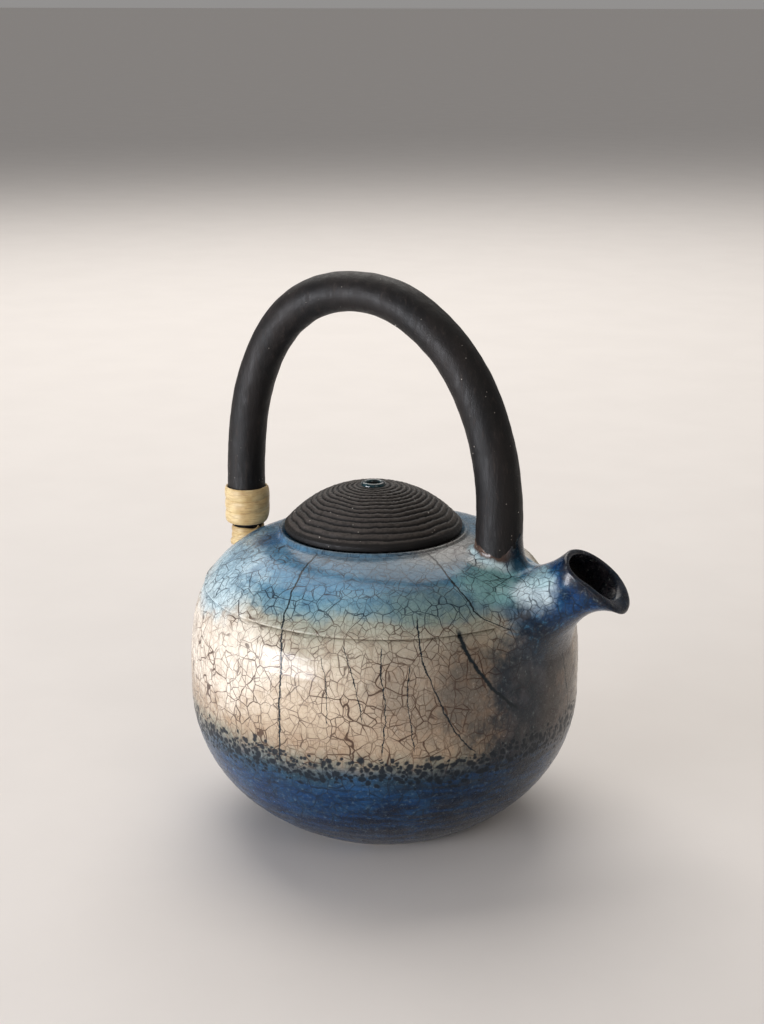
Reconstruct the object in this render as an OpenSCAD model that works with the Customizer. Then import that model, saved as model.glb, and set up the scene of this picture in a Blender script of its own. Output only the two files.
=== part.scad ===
// Wheel-thrown teapot with a crackle glaze, a ribbed lid and an arched overhead
// handle of smoked clay. The handle is luted on in front and lashed on behind.
// Millimetres. +X points to the spout, +Z up, origin at the middle of the foot.

/* [Pot] */
// Radius of the pot at its widest
belly_r = 75; // [60:1:90]
// Height of the widest line above the table
belly_z = 53.5; // [46:0.5:62]
// Height of the shoulder's dome above the widest line
dome_h = 61.5; // [50:0.5:74]
// Squareness of the shoulder, 2 is a plain ellipse
dome_power = 3.4; // [2.8:0.1:4]
// Radius of the foot
foot_r = 36; // [30:1:42]
// Depth of the hollow turned under the foot
foot_hollow = 3; // [2:0.5:4]
// Wall thickness of the pot
wall = 5; // [4:0.5:6]
// Clay left above the hollow of the foot
floor_t = 4.5; // [4:0.5:6]
// Height of the join between the bowl and the shoulder, below the dome's top
seam_drop = 20.5; // [19:0.5:24]

/* [Mouth and lid] */
// Place of the mouth's middle along X
mouth_x = -5; // [-8:0.5:0]
// Radius of the mouth
mouth_r = 27; // [22:0.5:29]
// Radius of the lid's rim
lid_r = 34; // [31:0.5:37]
// Width of the seat that shows round the lid
seat_margin = 2.4; // [1.5:0.1:4]
// Depth of the seat below the dome's top
seat_drop = 0.8; // [0.4:0.1:1.5]
// Thickness of the seat
seat_t = 6; // [5:0.5:8]
// Height of the lid's dome
lid_h = 17.3; // [14:0.1:22]
// Wall thickness of the lid
lid_wall = 4; // [3:0.5:5]
// Thickness of the lid at its rim
lid_rim_t = 2.2; // [1.5:0.1:3]
// Number of ribs thrown round the lid
lid_ribs = 15; // [8:1:20]
// Depth of the groove between two ribs
rib_depth = 0.55; // [0.2:0.05:0.8]
// Gap between the lid and its seat
lid_gap = 0.25; // [0.2:0.05:0.5]
// Gap round the lid's flange inside the mouth
flange_gap = 1.2; // [0.8:0.1:2]
// Wall thickness of the flange
flange_wall = 3.2; // [2.5:0.1:4]
// Length of the flange below the seat's top
flange_drop = 9; // [7:0.5:14]
// Radius of the steam hole
vent_r = 2.6; // [1.5:0.1:3]
// Outer radius of the ring round the steam hole
vent_ring_r = 4.8; // [4:0.1:6]
// Height of that ring above the lid's top
vent_ring_h = 0.9; // [0.5:0.1:2]

/* [Spout] */
// How far the spout's upper rim stands in front of the belly
spout_reach = 0.5; // [-3:0.5:6]
// Height of the spout's upper rim above the dome's top
spout_top_rise = 1.7; // [0:0.1:6]
// How far the lip reaches in front of the upper rim
lip_reach = 23; // [18:0.5:28]
// How far the lip lies below the upper rim
lip_fall = 19.2; // [16:0.1:24]
// Half the width of the spout's mouth
spout_mouth_w = 12.4; // [10.3:0.1:15]
// Half of the angle round the pot that the spout's root takes
spout_root_deg = 33; // [28:1:36]
// How quickly the root narrows to the neck
spout_taper = 2; // [1.8:0.1:2.4]
// How far the mouth swings sideways from the middle
spout_swing = 4.2; // [0:0.2:6]
// Wall thickness of the spout
spout_wall = 3; // [2.5:0.1:4]
// Extra thickness of the lip
lip_extra = 3.4; // [2:0.1:5]
// Radius of the hole in the pot behind the spout
throat_r = 11.5; // [9:0.5:12]
// Tilt of that hole above the level
throat_tilt = 30; // [26:1:34]

/* [Strainer] */
// How far the pierced dome laps round that hole
strainer_lap = 3; // [2.8:0.1:4]
// Thickness of the pierced dome
strainer_wall = 2.6; // [2:0.1:3]
// Radius of each pierced hole
pierce_r = 1.4; // [1:0.1:1.6]

/* [Handle] */
// Radius of the handle at its lashed end and over the top
grip_r = 7.5; // [6.5:0.1:9]
// Radius of the handle at its front foot
foot_grip_r = 8.7; // [7.5:0.1:10]
// How far the lashed end stands inside the belly
rear_inset = 11.6; // [10:0.1:13]
// Gap between the lid's seat and the front foot
front_gap = 8.4; // [6:0.1:11]
// Height of the arch's middle line above the dome's top
arch_rise = 89.6; // [75:0.2:105]
// Place of the arch's highest point along X
arch_top_x = -10.6; // [-20:0.2:0]
// Height above the dome's top where both legs start to curve
leg_rise = 8.5; // [6:0.5:14]

/* [Lashing and collar] */
// Radius of the post that the handle is lashed to
post_r = 5.2; // [4.4:0.1:6.3]
// Height of the post's top above the dome's top
post_rise = -1.2; // [-3:0.2:2]
// Radius of the peg on the post, inside the handle
peg_r = 3.5; // [3:0.1:4.5]
// Length of that peg
peg_l = 9; // [7:0.5:12]
// Gap between the peg and its hole
peg_gap = 0.15; // [0.1:0.05:0.3]
// Width of one turn of cane
cane_w = 4.6; // [3.5:0.1:5.5]
// Thickness of the cane
cane_t = 1.2; // [1:0.1:1.6]
// Number of turns in the upper lashing
cane_turns = 3; // [2:1:3]
// Length of the lower lashing
cane_low_l = 9.5; // [7:0.5:10]
// Thickness of the clay collar at its upper edge
collar_t = 1; // [0.8:0.1:2.5]
// Height of the collar above the dome's top
collar_rise = 4.5; // [3:0.5:6]
// How far the collar spreads over the shoulder
collar_flare = 6; // [4:0.5:8]

/* [Hidden] */
$fn = 96;

dome_z = belly_z + dome_h;
seam_z = dome_z - seam_drop;
seat_z = dome_z - seat_drop;
seat_r = lid_r + seat_margin;
under_h = belly_z / sqrt(1 - pow(foot_r / belly_r, 2));
inner_floor_z = foot_hollow + floor_t;
inner_power = 2.8;
foot_rim_w = 7;

post_top_z = dome_z + post_rise;
leg_z = dome_z + leg_rise;
arch_z = dome_z + arch_rise;
cane_low_gap = 2;
cane_low_z = post_top_z - cane_w - cane_low_gap;
collar_z = dome_z + collar_rise;
rear_x = rear_inset - belly_r;
front_x = mouth_x + seat_r + front_gap + foot_grip_r;
spout_top_x = belly_r + spout_reach;
spout_root_w = belly_r * sin(spout_root_deg);
strainer_r = throat_r + strainer_lap;
throat_z = seam_z - 1;

clay = "#2b2829";
glaze_blue = "#3f78a4";
glaze_cream = "#cdbfa9";
glaze_navy = "#1c3f70";
cane = "#d6bd8a";

// Outer half width of the pot at height z
function outer_r(z) = z < belly_z
    ? belly_r * sqrt(max(0, 1 - pow((belly_z - z) / under_h, 2)))
    : belly_r * pow(max(0, 1 - pow((z - belly_z) / dome_h, dome_power)), 1 / dome_power);

// Inner half width of the pot at height z
function inner_r(z) = (belly_r - wall) * (z < belly_z
    ? pow(max(0, 1 - pow((belly_z - z) / (belly_z - inner_floor_z), inner_power)), 1 / inner_power)
    : pow(max(0, 1 - pow((z - belly_z) / (dome_h - wall), dome_power)), 1 / dome_power));

// Heights from z0 to z1, closer together towards z1 when ease is over 1
function heights(z0, z1, steps, ease = 1) =
    [for (i = [0 : steps]) z0 + (z1 - z0) * (1 - pow(1 - i / steps, ease))];

function rest(list) = [for (i = [1 : len(list) - 1]) list[i]];

bowl_heights = concat(heights(0, belly_z, 10), rest(heights(belly_z, seam_z, 7)));
shoulder_heights = heights(seam_z, dome_z, 12, 2.2);
inner_bowl_heights = concat(heights(seam_z, belly_z, 7),
    rest(heights(belly_z, inner_floor_z, 12, 2.2)));
inner_shoulder_heights = heights(dome_z - wall, seam_z, 10, 0.5);

// Cubic curve through hand-set points
function cubic(p, t) = pow(1 - t, 3) * p[0] + 3 * pow(1 - t, 2) * t * p[1]
    + 3 * (1 - t) * t * t * p[2] + pow(t, 3) * p[3];
function unit(v) = v / norm(v);

// Closed skin over rings of points that all have the same count
module skin(rings) {
    n = len(rings[0]);
    last = len(rings) - 1;
    points = [for (ring = rings) each ring];
    sides = [for (i = [0 : last - 1], j = [0 : n - 1])
        let (a = i * n + j, b = i * n + (j + 1) % n)
        each [[a, b, a + n], [b, b + n, a + n]]];
    caps = [[for (j = [n - 1 : -1 : 0]) j], [for (j = [0 : n - 1]) last * n + j]];
    polyhedron(points, concat(sides, caps));
}

// Solid that fills the pot's outside, used to seat other pieces on it
module pot_outside() {
    rotate_extrude() polygon(concat([[0, 0]],
        [for (z = bowl_heights) [outer_r(z), z]],
        [for (z = rest(shoulder_heights)) [outer_r(z), z]]));
}

// Moves to the middle of the throat on the inner wall, with +Z out through it
module at_throat() {
    translate([inner_r(throat_z), 0, throat_z]) rotate([0, 90 - throat_tilt, 0]) children();
}

// The hole behind the spout, and the seat turned round it for the strainer
module throat() {
    at_throat() {
        translate([0, 0, -wall]) cylinder(r = throat_r, h = 4 * wall);
        translate([0, 0, -3 * wall]) cylinder(r = strainer_r, h = 3 * wall);
    }
}

module pot_bowl() {
    color(glaze_cream) difference() {
        rotate_extrude() polygon(concat([[0, foot_hollow], [foot_r - foot_rim_w, foot_hollow],
                [foot_r - foot_rim_w + foot_hollow / 2, 0]],
            [for (z = bowl_heights) [outer_r(z), z]],
            [for (z = inner_bowl_heights) [inner_r(z), z]]));
        throat();
    }
}

module pot_shoulder() {
    seat_z0 = seat_z - seat_t;
    color(glaze_blue) difference() {
        union() {
            rotate_extrude() polygon(concat([for (z = shoulder_heights) [outer_r(z), z]],
                [for (z = inner_shoulder_heights) [inner_r(z), z]]));
            translate([mouth_x, 0, seat_z0]) cylinder(r = seat_r, h = seat_t);
        }
        translate([mouth_x, 0, seat_z0 - wall]) cylinder(r = mouth_r, h = seat_t + 2 * wall);
        translate([mouth_x, 0, seat_z]) cylinder(r = seat_r, h = wall);
        throat();
    }
}

// The spout's upper and lower edge in the XZ plane
spout_upper = [[0.59 * belly_r, dome_z - 11], [belly_r - 19, dome_z - 7.5],
    [belly_r - 10.5, dome_z - 8], [spout_top_x, dome_z + spout_top_rise]];
spout_lower = [[0.9 * belly_r, seam_z - 28], [belly_r, seam_z - 7], [belly_r + 8, seam_z + 5.5],
    [spout_top_x + lip_reach, dome_z + spout_top_rise - lip_fall]];
lip_hang = 1.5;
mouth_blunt = 2.2;
spout_rings = 14;
spout_sides = 32;

// One ring round the spout at t, from 0 at its root to 1 at its mouth. The wall
// is taken off all round and the lip's extra thickness off its lower side.
function spout_ring(t, off, lip) =
    let (top = cubic(spout_upper, t), low = cubic(spout_lower, t),
        down = unit(low - top), out = [-down[1], down[0]],
        half = norm(low - top) / 2 - off - lip * pow(t, 5) / 2,
        mid = (top + low) / 2 - down * lip * pow(t, 5) / 2,
        w = spout_mouth_w + (spout_root_w - spout_mouth_w) * pow(1 - t, spout_taper) - off)
    [for (j = [0 : spout_sides - 1])
        let (a = 360 * j / spout_sides,
            hang = lip_hang * pow(t, 6) * pow(max(0, sin(a)), 4),
            blunt = mouth_blunt * pow(t, 3) * max(0, -sin(a)),
            p = mid + down * half * sin(a) - out * hang)
        [p[0], spout_swing * t - blunt + (w + blunt) * cos(a), p[1]]];

module spout_outside() {
    skin([for (i = [0 : spout_rings]) spout_ring(i / spout_rings, 0, 0)]);
}

module spout() {
    outside = [for (i = [0 : spout_rings]) spout_ring(i / spout_rings, 0, 0)];
    inside = [for (i = [0 : spout_rings]) spout_ring(i / spout_rings, spout_wall, lip_extra)];
    n = spout_sides;
    rings = 2 * (spout_rings + 1);
    points = [for (ring = outside) each ring, for (i = [spout_rings : -1 : 0]) each inside[i]];
    faces = [for (i = [0 : rings - 1], j = [0 : n - 1])
        let (a = i * n + j, b = i * n + (j + 1) % n,
            c = ((i + 1) % rings) * n + j, d = ((i + 1) % rings) * n + (j + 1) % n)
        each [[a, b, c], [b, d, c]]];
    color(glaze_navy) difference() {
        polyhedron(points, faces);
        pot_outside();
    }
}

// Pierced dome that bulges into the pot from its seat
module strainer() {
    hole_rings = [[0, 1], [27, 6], [54, 12]];
    color(glaze_cream) at_throat() difference() {
        sphere(r = strainer_r);
        sphere(r = strainer_r - strainer_wall);
        translate([-strainer_r - 1, -strainer_r - 1, 0]) cube(2 * strainer_r + 2);
        for (ring = hole_rings, k = [0 : ring[1] - 1])
            rotate([0, 0, 360 * k / ring[1]]) rotate([0, 180 - ring[0], 0])
                translate([0, 0, strainer_r - strainer_wall - 1])
                    cylinder(r = pierce_r, h = strainer_wall + 2, $fn = 24);
    }
}

// The straight foot of the handle in front
module front_foot() {
    translate([front_x, 0, dome_z - 3 * wall]) cylinder(r = foot_grip_r, h = leg_z - dome_z + 3 * wall);
}

module collar_outside() {
    steps = 8;
    base_z = dome_z - 9;
    rise = collar_z - base_z;
    translate([front_x, 0, base_z]) rotate_extrude() polygon(concat(
        [[0, 0]],
        [for (i = [0 : steps]) let (s = i / steps)
            [foot_grip_r + collar_t + collar_flare * pow(1 - s, 2.4), rise * s]],
        [[0, rise]]));
}

module handle_collar() {
    color(glaze_blue) difference() {
        collar_outside();
        front_foot();
        pot_outside();
        spout_outside();
    }
}

module rear_post() {
    base_z = seam_z - 6;
    color(clay) difference() {
        translate([rear_x, 0, 0]) rotate_extrude() polygon([
            [0, base_z], [post_r, base_z], [post_r, post_top_z - cane_w],
            [grip_r, post_top_z - cane_w], [grip_r, post_top_z],
            [peg_r, post_top_z], [peg_r, post_top_z + peg_l], [0, post_top_z + peg_l]]);
        pot_outside();
    }
}

arch_points = [
    [[rear_x, leg_z], [rear_x - 0.5, leg_z + 45], [arch_top_x - 38.5, arch_z], [arch_top_x, arch_z]],
    [[arch_top_x, arch_z], [arch_top_x + 33.7, arch_z], [front_x + 2, leg_z + 43], [front_x, leg_z]]];
arch_steps = 14;
arch_sides = 24;
sink = 0.6;

function arch_ring(p, along, r) = [for (j = [0 : arch_sides - 1])
    let (a = 360 * j / arch_sides)
    [p[0] - along[1] * r * cos(a), r * sin(a), p[1] + along[0] * r * cos(a)]];

// The handle thickens from its lashed end to its foot
function arch_r(s) = grip_r + (foot_grip_r - grip_r) * pow(s, 3);

module handle() {
    spine = [for (k = [0, 1], i = [k : arch_steps]) cubic(arch_points[k], i / arch_steps)];
    last = len(spine) - 1;
    rings = [for (i = [0 : last])
        let (along = i == 0 ? [0, 1] : i == last ? [0, -1] : unit(spine[i + 1] - spine[i - 1]))
        arch_ring(spine[i], along, arch_r(i / last) - 0.05)];
    lower = function (ring, dz) [for (p = ring) p + [0, 0, dz]];
    color(clay) difference() {
        union() {
            skin(concat([lower(rings[0], -sink)], rings, [lower(rings[last], -sink)]));
            translate([rear_x, 0, post_top_z]) cylinder(r = grip_r, h = leg_z - post_top_z);
            front_foot();
        }
        translate([rear_x, 0, post_top_z - 1]) cylinder(r = peg_r + peg_gap, h = peg_l + 2);
        pot_outside();
        spout_outside();
    }
}

// One closed turn of cane, flat inside and rounded outside
module cane_turn(r, w) {
    edge = cane_t / 2;
    rotate_extrude() polygon(concat([[r, 0], [r + edge, 0]],
        [for (a = [-75 : 15 : 75]) [r + edge + edge * cos(a), w / 2 + (w / 2) * sin(a)]],
        [[r + edge, w], [r, w]]));
}

module cane_upper_lashing() {
    first_z = post_top_z - cane_w;
    color(cane) for (k = [0 : cane_turns - 1])
        translate([rear_x, 0, first_z + k * (cane_w + 0.1)]) cane_turn(grip_r, cane_w);
}

module cane_lower_lashing() {
    color(cane) difference() {
        translate([rear_x, 0, cane_low_z - cane_low_l]) rotate_extrude() polygon([
            [post_r, 0], [post_r + cane_t - 0.4, 0], [post_r + cane_t, 0.4],
            [post_r + cane_t, cane_low_l - 0.4], [post_r + cane_t - 0.4, cane_low_l], [post_r, cane_low_l]]);
        pot_outside();
    }
}

// The lid's dome is a cap of this sphere
cap_r = (lid_r * lid_r + pow(lid_h - lid_rim_t, 2)) / (2 * (lid_h - lid_rim_t));
function cap_z(r, down) = sqrt(pow(cap_r - down, 2) - r * r) - cap_r;

lid_z = seat_z + lid_gap;
lid_top_z = lid_z + lid_h;

module lid_dome() {
    points_per_rib = 4;
    steps = lid_ribs * points_per_rib;
    hollow_r = mouth_r - flange_gap - flange_wall;
    color(clay) translate([mouth_x, 0, lid_top_z]) rotate_extrude() polygon(concat(
        [[vent_r, cap_z(vent_r, 0)]],
        [for (i = [0 : steps])
            let (r = vent_ring_r + (lid_r - vent_ring_r) * i / steps,
                groove = rib_depth * (1 - abs(sin(180 * i / points_per_rib))))
            [r, cap_z(r, 0) - groove]],
        [[lid_r, -lid_h + 0.5], [lid_r - 0.5, -lid_h], [hollow_r, -lid_h]],
        [for (i = [0 : 10])
            let (r = hollow_r + (vent_r - hollow_r) * i / 10)
            [r, cap_z(r, lid_wall)]]));
}

module lid_flange() {
    r = mouth_r - flange_gap;
    color(clay) translate([mouth_x, 0, lid_z - flange_drop]) rotate_extrude() polygon([
        [r - flange_wall, 0.8], [r - flange_wall + 0.8, 0], [r - 0.8, 0], [r, 0.8],
        [r, flange_drop], [r - flange_wall, flange_drop]]);
}

module vent_ring() {
    base = cap_z(vent_ring_r, 0) - rib_depth;
    color("#1f5560") translate([mouth_x, 0, lid_top_z]) rotate_extrude() polygon(concat(
        [[vent_r, cap_z(vent_r, 0)]],
        [[vent_ring_r, base]],
        [for (a = [0 : 20 : 180])
            let (mid = (vent_r + vent_ring_r) / 2, half = (vent_ring_r - vent_r) / 2)
            [mid + half * cos(a), vent_ring_h * sin(a)]]));
}

pot_bowl();
pot_shoulder();
spout();
strainer();
handle_collar();
rear_post();
handle();
cane_upper_lashing();
cane_lower_lashing();
lid_dome();
lid_flange();
vent_ring();
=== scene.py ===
import math

import bpy
import numpy as np
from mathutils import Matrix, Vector, noise
from mathutils.bvhtree import BVHTree


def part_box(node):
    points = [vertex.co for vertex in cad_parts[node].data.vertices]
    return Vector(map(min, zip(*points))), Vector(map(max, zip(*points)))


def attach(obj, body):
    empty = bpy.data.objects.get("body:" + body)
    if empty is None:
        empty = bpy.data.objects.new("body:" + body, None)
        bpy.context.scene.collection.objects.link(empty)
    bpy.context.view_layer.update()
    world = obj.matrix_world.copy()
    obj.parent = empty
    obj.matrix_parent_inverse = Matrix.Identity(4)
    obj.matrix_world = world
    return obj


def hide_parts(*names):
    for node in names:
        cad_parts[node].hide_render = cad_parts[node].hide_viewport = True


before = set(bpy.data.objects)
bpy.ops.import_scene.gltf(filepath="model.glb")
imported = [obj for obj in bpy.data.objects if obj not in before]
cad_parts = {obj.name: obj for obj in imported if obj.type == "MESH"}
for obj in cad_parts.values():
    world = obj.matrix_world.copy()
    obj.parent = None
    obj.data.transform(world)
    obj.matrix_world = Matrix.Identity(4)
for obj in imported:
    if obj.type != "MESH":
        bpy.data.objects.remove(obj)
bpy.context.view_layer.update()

# Lengths are millimetres until a mesh is made. +X is the spout's side, +Z is up.


def boxMm(node):
    low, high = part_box(node)
    return np.array(low) * 1000, np.array(high) * 1000


def smooth(value, low, high):
    part = np.clip((value - low) / (high - low), 0, 1)
    return part * part * (3 - 2 * part)


def noiseAt(points, size, shift=0.0):
    flat = np.asarray(points, float).reshape(-1, 3) / size + shift
    return np.array([noise.noise(Vector(p)) for p in flat]).reshape(np.shape(points)[:-1])


def gridNormals(rings):
    alongRing = np.roll(rings, -1, 1) - np.roll(rings, 1, 1)
    acrossRing = np.gradient(rings, axis=0)
    normal = np.cross(alongRing, acrossRing)
    length = np.linalg.norm(normal, axis=2, keepdims=True)
    return normal / np.maximum(length, 1e-9)


# Skin over rings of points. A loop of rings is joined end to end, otherwise both ends are closed.
def ringMesh(name, rings, loop, bandMaterial=None, marks=None):
    rings = np.asarray(rings, float)
    ringCount, sides = rings.shape[:2]
    verts = rings.reshape(-1, 3)
    here = np.arange(sides)
    after = (here + 1) % sides
    faces, materialIndex = [], []
    for i in range(ringCount if loop else ringCount - 1):
        a, b = i * sides, ((i + 1) % ringCount) * sides
        faces += np.stack([a + here, a + after, b + after, b + here], 1).tolist()
        materialIndex += [bandMaterial(i) if bandMaterial else 0] * sides
    if not loop:
        ends = [rings[0].mean(0), rings[-1].mean(0)]
        first, last, end = ringCount * sides, ringCount * sides + 1, (ringCount - 1) * sides
        verts = np.concatenate([verts, ends])
        faces += np.stack([np.full(sides, first), after, here], 1).tolist()
        faces += np.stack([np.full(sides, last), end + here, end + after], 1).tolist()
        lastBand = bandMaterial(ringCount - 2) if bandMaterial else 0
        materialIndex += [bandMaterial(0) if bandMaterial else 0] * sides + [lastBand] * sides
    mesh = bpy.data.meshes.new(name)
    mesh.from_pydata((verts / 1000).tolist(), [], faces)
    mesh.polygons.foreach_set("material_index", materialIndex)
    for markName, values in (marks or {}).items():
        mark = mesh.attributes.new(markName, "FLOAT", "POINT")
        values = np.asarray(values, float).reshape(-1)
        mark.data.foreach_set("value", np.concatenate([values, np.zeros(len(verts) - len(values))]))
    mesh.shade_smooth()
    mesh.update()
    p = verts
    quads = np.array([f if len(f) == 4 else f + [f[0]] for f in faces])
    a, b, c, d = (p[quads[:, k]] for k in range(4))
    volume = (np.einsum("ij,ij->i", a, np.cross(b, c)) + np.einsum("ij,ij->i", a, np.cross(c, d))).sum()
    if volume < 0:
        mesh.flip_normals()
    thing = bpy.data.objects.new(name, mesh)
    bpy.context.scene.collection.objects.link(thing)
    return thing


def turned(profile, sides, centreX=0.0):
    angle = np.linspace(0, 2 * np.pi, sides, endpoint=False)
    profile = np.asarray(profile, float)
    r, z = profile[:, :1], profile[:, 1:]
    return np.stack([centreX + r * np.cos(angle), r * np.sin(angle), z + 0 * angle], 2)


def finish(thing, body, slot, materials, *replaced):
    # Emptying the slots sets every face to the first one, so a piece with several keeps its own
    if len(materials) == 1:
        thing.data.materials.clear()
        thing.data.materials.append(materials[0])
    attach(thing, body)
    if replaced:
        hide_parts(*replaced)
    return thing


def hexColour(text):
    parts = [int(text[i:i + 2], 16) / 255 for i in (1, 3, 5)]
    return [c / 12.92 if c <= 0.04045 else ((c + 0.055) / 1.055) ** 2.4 for c in parts] + [1.0]


# One node with its settings and its links. A socket is linked, a colour made linear, any other value set.
def add(tree, kind, inputs=None, **settings):
    made = tree.nodes.new(kind)
    for key, value in settings.items():
        setattr(made, key, value)
    for key, value in (inputs or {}).items():
        socket = made.inputs[key]
        if isinstance(value, bpy.types.NodeSocket):
            tree.links.new(value, socket)
        else:
            socket.default_value = hexColour(value) if isinstance(value, str) else value
    return made


def newMaterial(name):
    material = bpy.data.materials.new(name)
    material.use_nodes = True
    tree = material.node_tree
    tree.nodes.clear()
    place = add(tree, "ShaderNodeTexCoord").outputs["Object"]
    millimetres = add(tree, "ShaderNodeVectorMath", {0: place, "Scale": 1000.0},
        operation="SCALE").outputs[0]
    return material, tree, millimetres


crackle = {
    # Heights in millimetres where the brushed glazes change, from the foot up. The cobalt turns near black
    # towards the foot, partly painted shade under the belly.
    "zones": [(0, "#050d18"), (12, "#071527"), (24, "#0b2240"), (36, "#14365a"), (44, "#2b4350"),
        (51, "#868476"), (56, "#ac9a83"), (68, "#c6b59e"), (84, "#cdc1ad"), (93, "#b4ae9c"),
        (98, "#9a9f92"), (102, "#7c9ca6"), (107, "#5388a8"), (112, "#4a7896"), (117, "#5b6364")],
    "zoneShift": 5.0, "zoneFeather": 2.6,
    # Patches of other glaze, of painted shade and of painted highlight: colour, middle, half sizes, strength.
    # The spout has its own, laid over its blue.
    "patches": [
        ("#7d7163", (50, -52, 76), (26, 28, 20), 0.7),
        # Painted shade: a grey patch darkening the right of the belly, away from the window
        ("#5b5650", (62, -42, 74), (16, 18, 20), 0.75),
        ("#e9e0d2", (-34, -58, 80), (34, 40, 22), 0.7),
        ("#b9d2dc", (-46, -44, 101), (28, 36, 13), 0.75),
        ("#2f6189", (-34, -25, 112), (9, 9, 5), 0.85),
        ("#41657a", (30, -38, 110), (22, 13, 6), 0.5),
        ("#6d7f74", (42, -42, 103), (22, 18, 6), 0.6),
        ("#77746c", (30, -8, 114), (16, 22, 6), 0.8),
        ("#86b3b4", (54, -18, 107), (14, 14, 8), 0.85),
        ("#d5d9d8", (46, -10.5, 111), (6, 3.5, 4), 0.75),
        ("#2b5f86", (70, -14, 99), (13, 16, 9), 0.7),
        ("#0d2f54", (74, -4, 88), (18, 22, 16), 0.95),
        # Deep blue glaze under the spout, darkened to near black as the spout's painted shadow
        ("#092334", (71, -18, 76), (18, 22, 22), 0.9),
        ("#0e1d28", (70, -18, 54), (20, 28, 22), 0.9),
        # Painted shade: a dark brown patch low on the right side
        ("#3b342d", (76, 4, 60), (13, 18, 28), 0.8),
        ("#9b8e7c", (70, 32, 66), (20, 15, 28), 0.8),
        # Cobalt darkened further on the lower right as painted shade
        ("#0a1522", (56, -34, 26), (46, 44, 24), 0.75),
    ],
    "spoutPatches": [
        ("#86b7b8", (56, -14, 103), (11, 10, 9), 0.8),
        # Painted highlight: near-white gloss on top of the spout's neck, over pale glaze
        ("#d3e4ea", (69, -12, 104), (9, 8, 8), 0.95),
        ("#9cc0c4", (69, -6, 108), (7, 9, 4), 0.6),
    ],
    # Crazing: size of the cells, half the width of a line, strength
    "cells": [(6.4, 0.15, 0.92), (3.7, 0.12, 0.76), (2.1, 0.075, 0.34)],
    "lineOnCream": "#3f2a20", "lineOnBlue": "#101f2e", "haloOnCream": "#a5795c",
    # Pits: their spacing and their reach, then where their band starts, peaks and ends
    "speckles": [(2.9, 0.46), (1.9, 0.42)], "speckleBand": (38.0, 47.5, 55.5),
    # Long cracks: azimuth in degrees and height at each point, then half the width
    "longCracks": [
        ([(-107, 114), (-97, 110), (-94, 105), (-92, 95), (-90, 83), (-90, 71), (-90, 59),
            (-90, 46)], 0.36),
        ([(-38, 96), (-36, 88), (-30, 76), (-23, 67), (-20, 64)], 0.8),
        ([(-32, 114), (-33, 109), (-31, 104), (-30, 100), (-25, 96), (-20, 93)], 0.34),
        ([(-50, 101), (-50, 91), (-49, 85), (-46, 76), (-42, 64), (-34, 51)], 0.28),
        ([(-61, 92), (-61, 82), (-60, 71), (-61, 54)], 0.2),
        ([(-72, 92), (-70, 86), (-68, 78), (-66, 66)], 0.18),
        ([(-78, 88), (-76, 76), (-76, 64)], 0.14),
        ([(-53, 86), (-54, 76), (-53, 64), (-52, 55)], 0.16),
        ([(2, 78), (3, 70), (6, 57), (6, 40)], 0.24),
        ([(150, 104), (155, 90), (150, 70), (156, 50)], 0.3),
        ([(96, 100), (92, 84), (95, 62)], 0.25),
        ([(-160, 96), (-164, 78), (-158, 56)], 0.25),
    ],
}


# How far a spot lies from the middle of a patch, 1 inside and 0 outside, with a ragged edge
def patchMask(tree, place, ragged, middle, halfSizes):
    local = add(tree, "ShaderNodeVectorMath", {0: place, 1: middle}, operation="SUBTRACT").outputs[0]
    local = add(tree, "ShaderNodeVectorMath", {0: local, 1: halfSizes}, operation="DIVIDE").outputs[0]
    length = add(tree, "ShaderNodeVectorMath", {0: local}, operation="LENGTH").outputs["Value"]
    return add(tree, "ShaderNodeMapRange", {"Value": add(tree, "ShaderNodeMath", {0: length, 1: ragged},
        operation="ADD").outputs[0], "From Min": 1.25, "From Max": 0.55},
        interpolation_type="SMOOTHSTEP").outputs[0]


# A crack that runs mostly up the pot: its azimuth is a curve over its height
def longCrackMask(tree, azimuth, height, radius, points, halfWidth):
    low, high = points[-1][1], points[0][1]
    west, east = min(p[0] for p in points) - 2, max(p[0] for p in points) + 2
    part = add(tree, "ShaderNodeMath", {0: add(tree, "ShaderNodeMath", {0: height, 1: low},
        operation="SUBTRACT").outputs[0], 1: high - low}, operation="DIVIDE").outputs[0]
    curve = add(tree, "ShaderNodeFloatCurve", {"Value": part})
    line = curve.mapping.curves[0]
    spots = sorted(((z - low) / (high - low), (a - west) / (east - west)) for a, z in points)
    line.points[0].location, line.points[1].location = spots[0], spots[-1]
    for spot in spots[1:-1]:
        line.points.new(*spot)
    curve.mapping.update()
    there = add(tree, "ShaderNodeMath", {0: curve.outputs[0], 1: east - west, 2: west},
        operation="MULTIPLY_ADD").outputs[0]
    aside = add(tree, "ShaderNodeMath", {0: add(tree, "ShaderNodeMath", {0: azimuth, 1: there},
        operation="SUBTRACT").outputs[0], 1: radius}, operation="MULTIPLY").outputs[0]
    aside = add(tree, "ShaderNodeMath", {0: add(tree, "ShaderNodeMath", {0: aside, 1: math.pi / 180},
        operation="MULTIPLY").outputs[0]}, operation="ABSOLUTE").outputs[0]
    ends = add(tree, "ShaderNodeMath", {0: add(tree, "ShaderNodeMapRange", {"Value": part,
        "From Min": -0.03, "From Max": 0.05}, interpolation_type="SMOOTHSTEP").outputs[0], 1: add(tree,
        "ShaderNodeMapRange", {"Value": part, "From Min": 1.03, "From Max": 0.97},
        interpolation_type="SMOOTHSTEP").outputs[0]}, operation="MULTIPLY").outputs[0]
    return add(tree, "ShaderNodeMath", {0: add(tree, "ShaderNodeMapRange", {"Value": aside,
        "From Min": halfWidth * 1.5, "From Max": halfWidth * 0.5},
        interpolation_type="SMOOTHSTEP").outputs[0], 1: ends}, operation="MULTIPLY").outputs[0]


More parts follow.
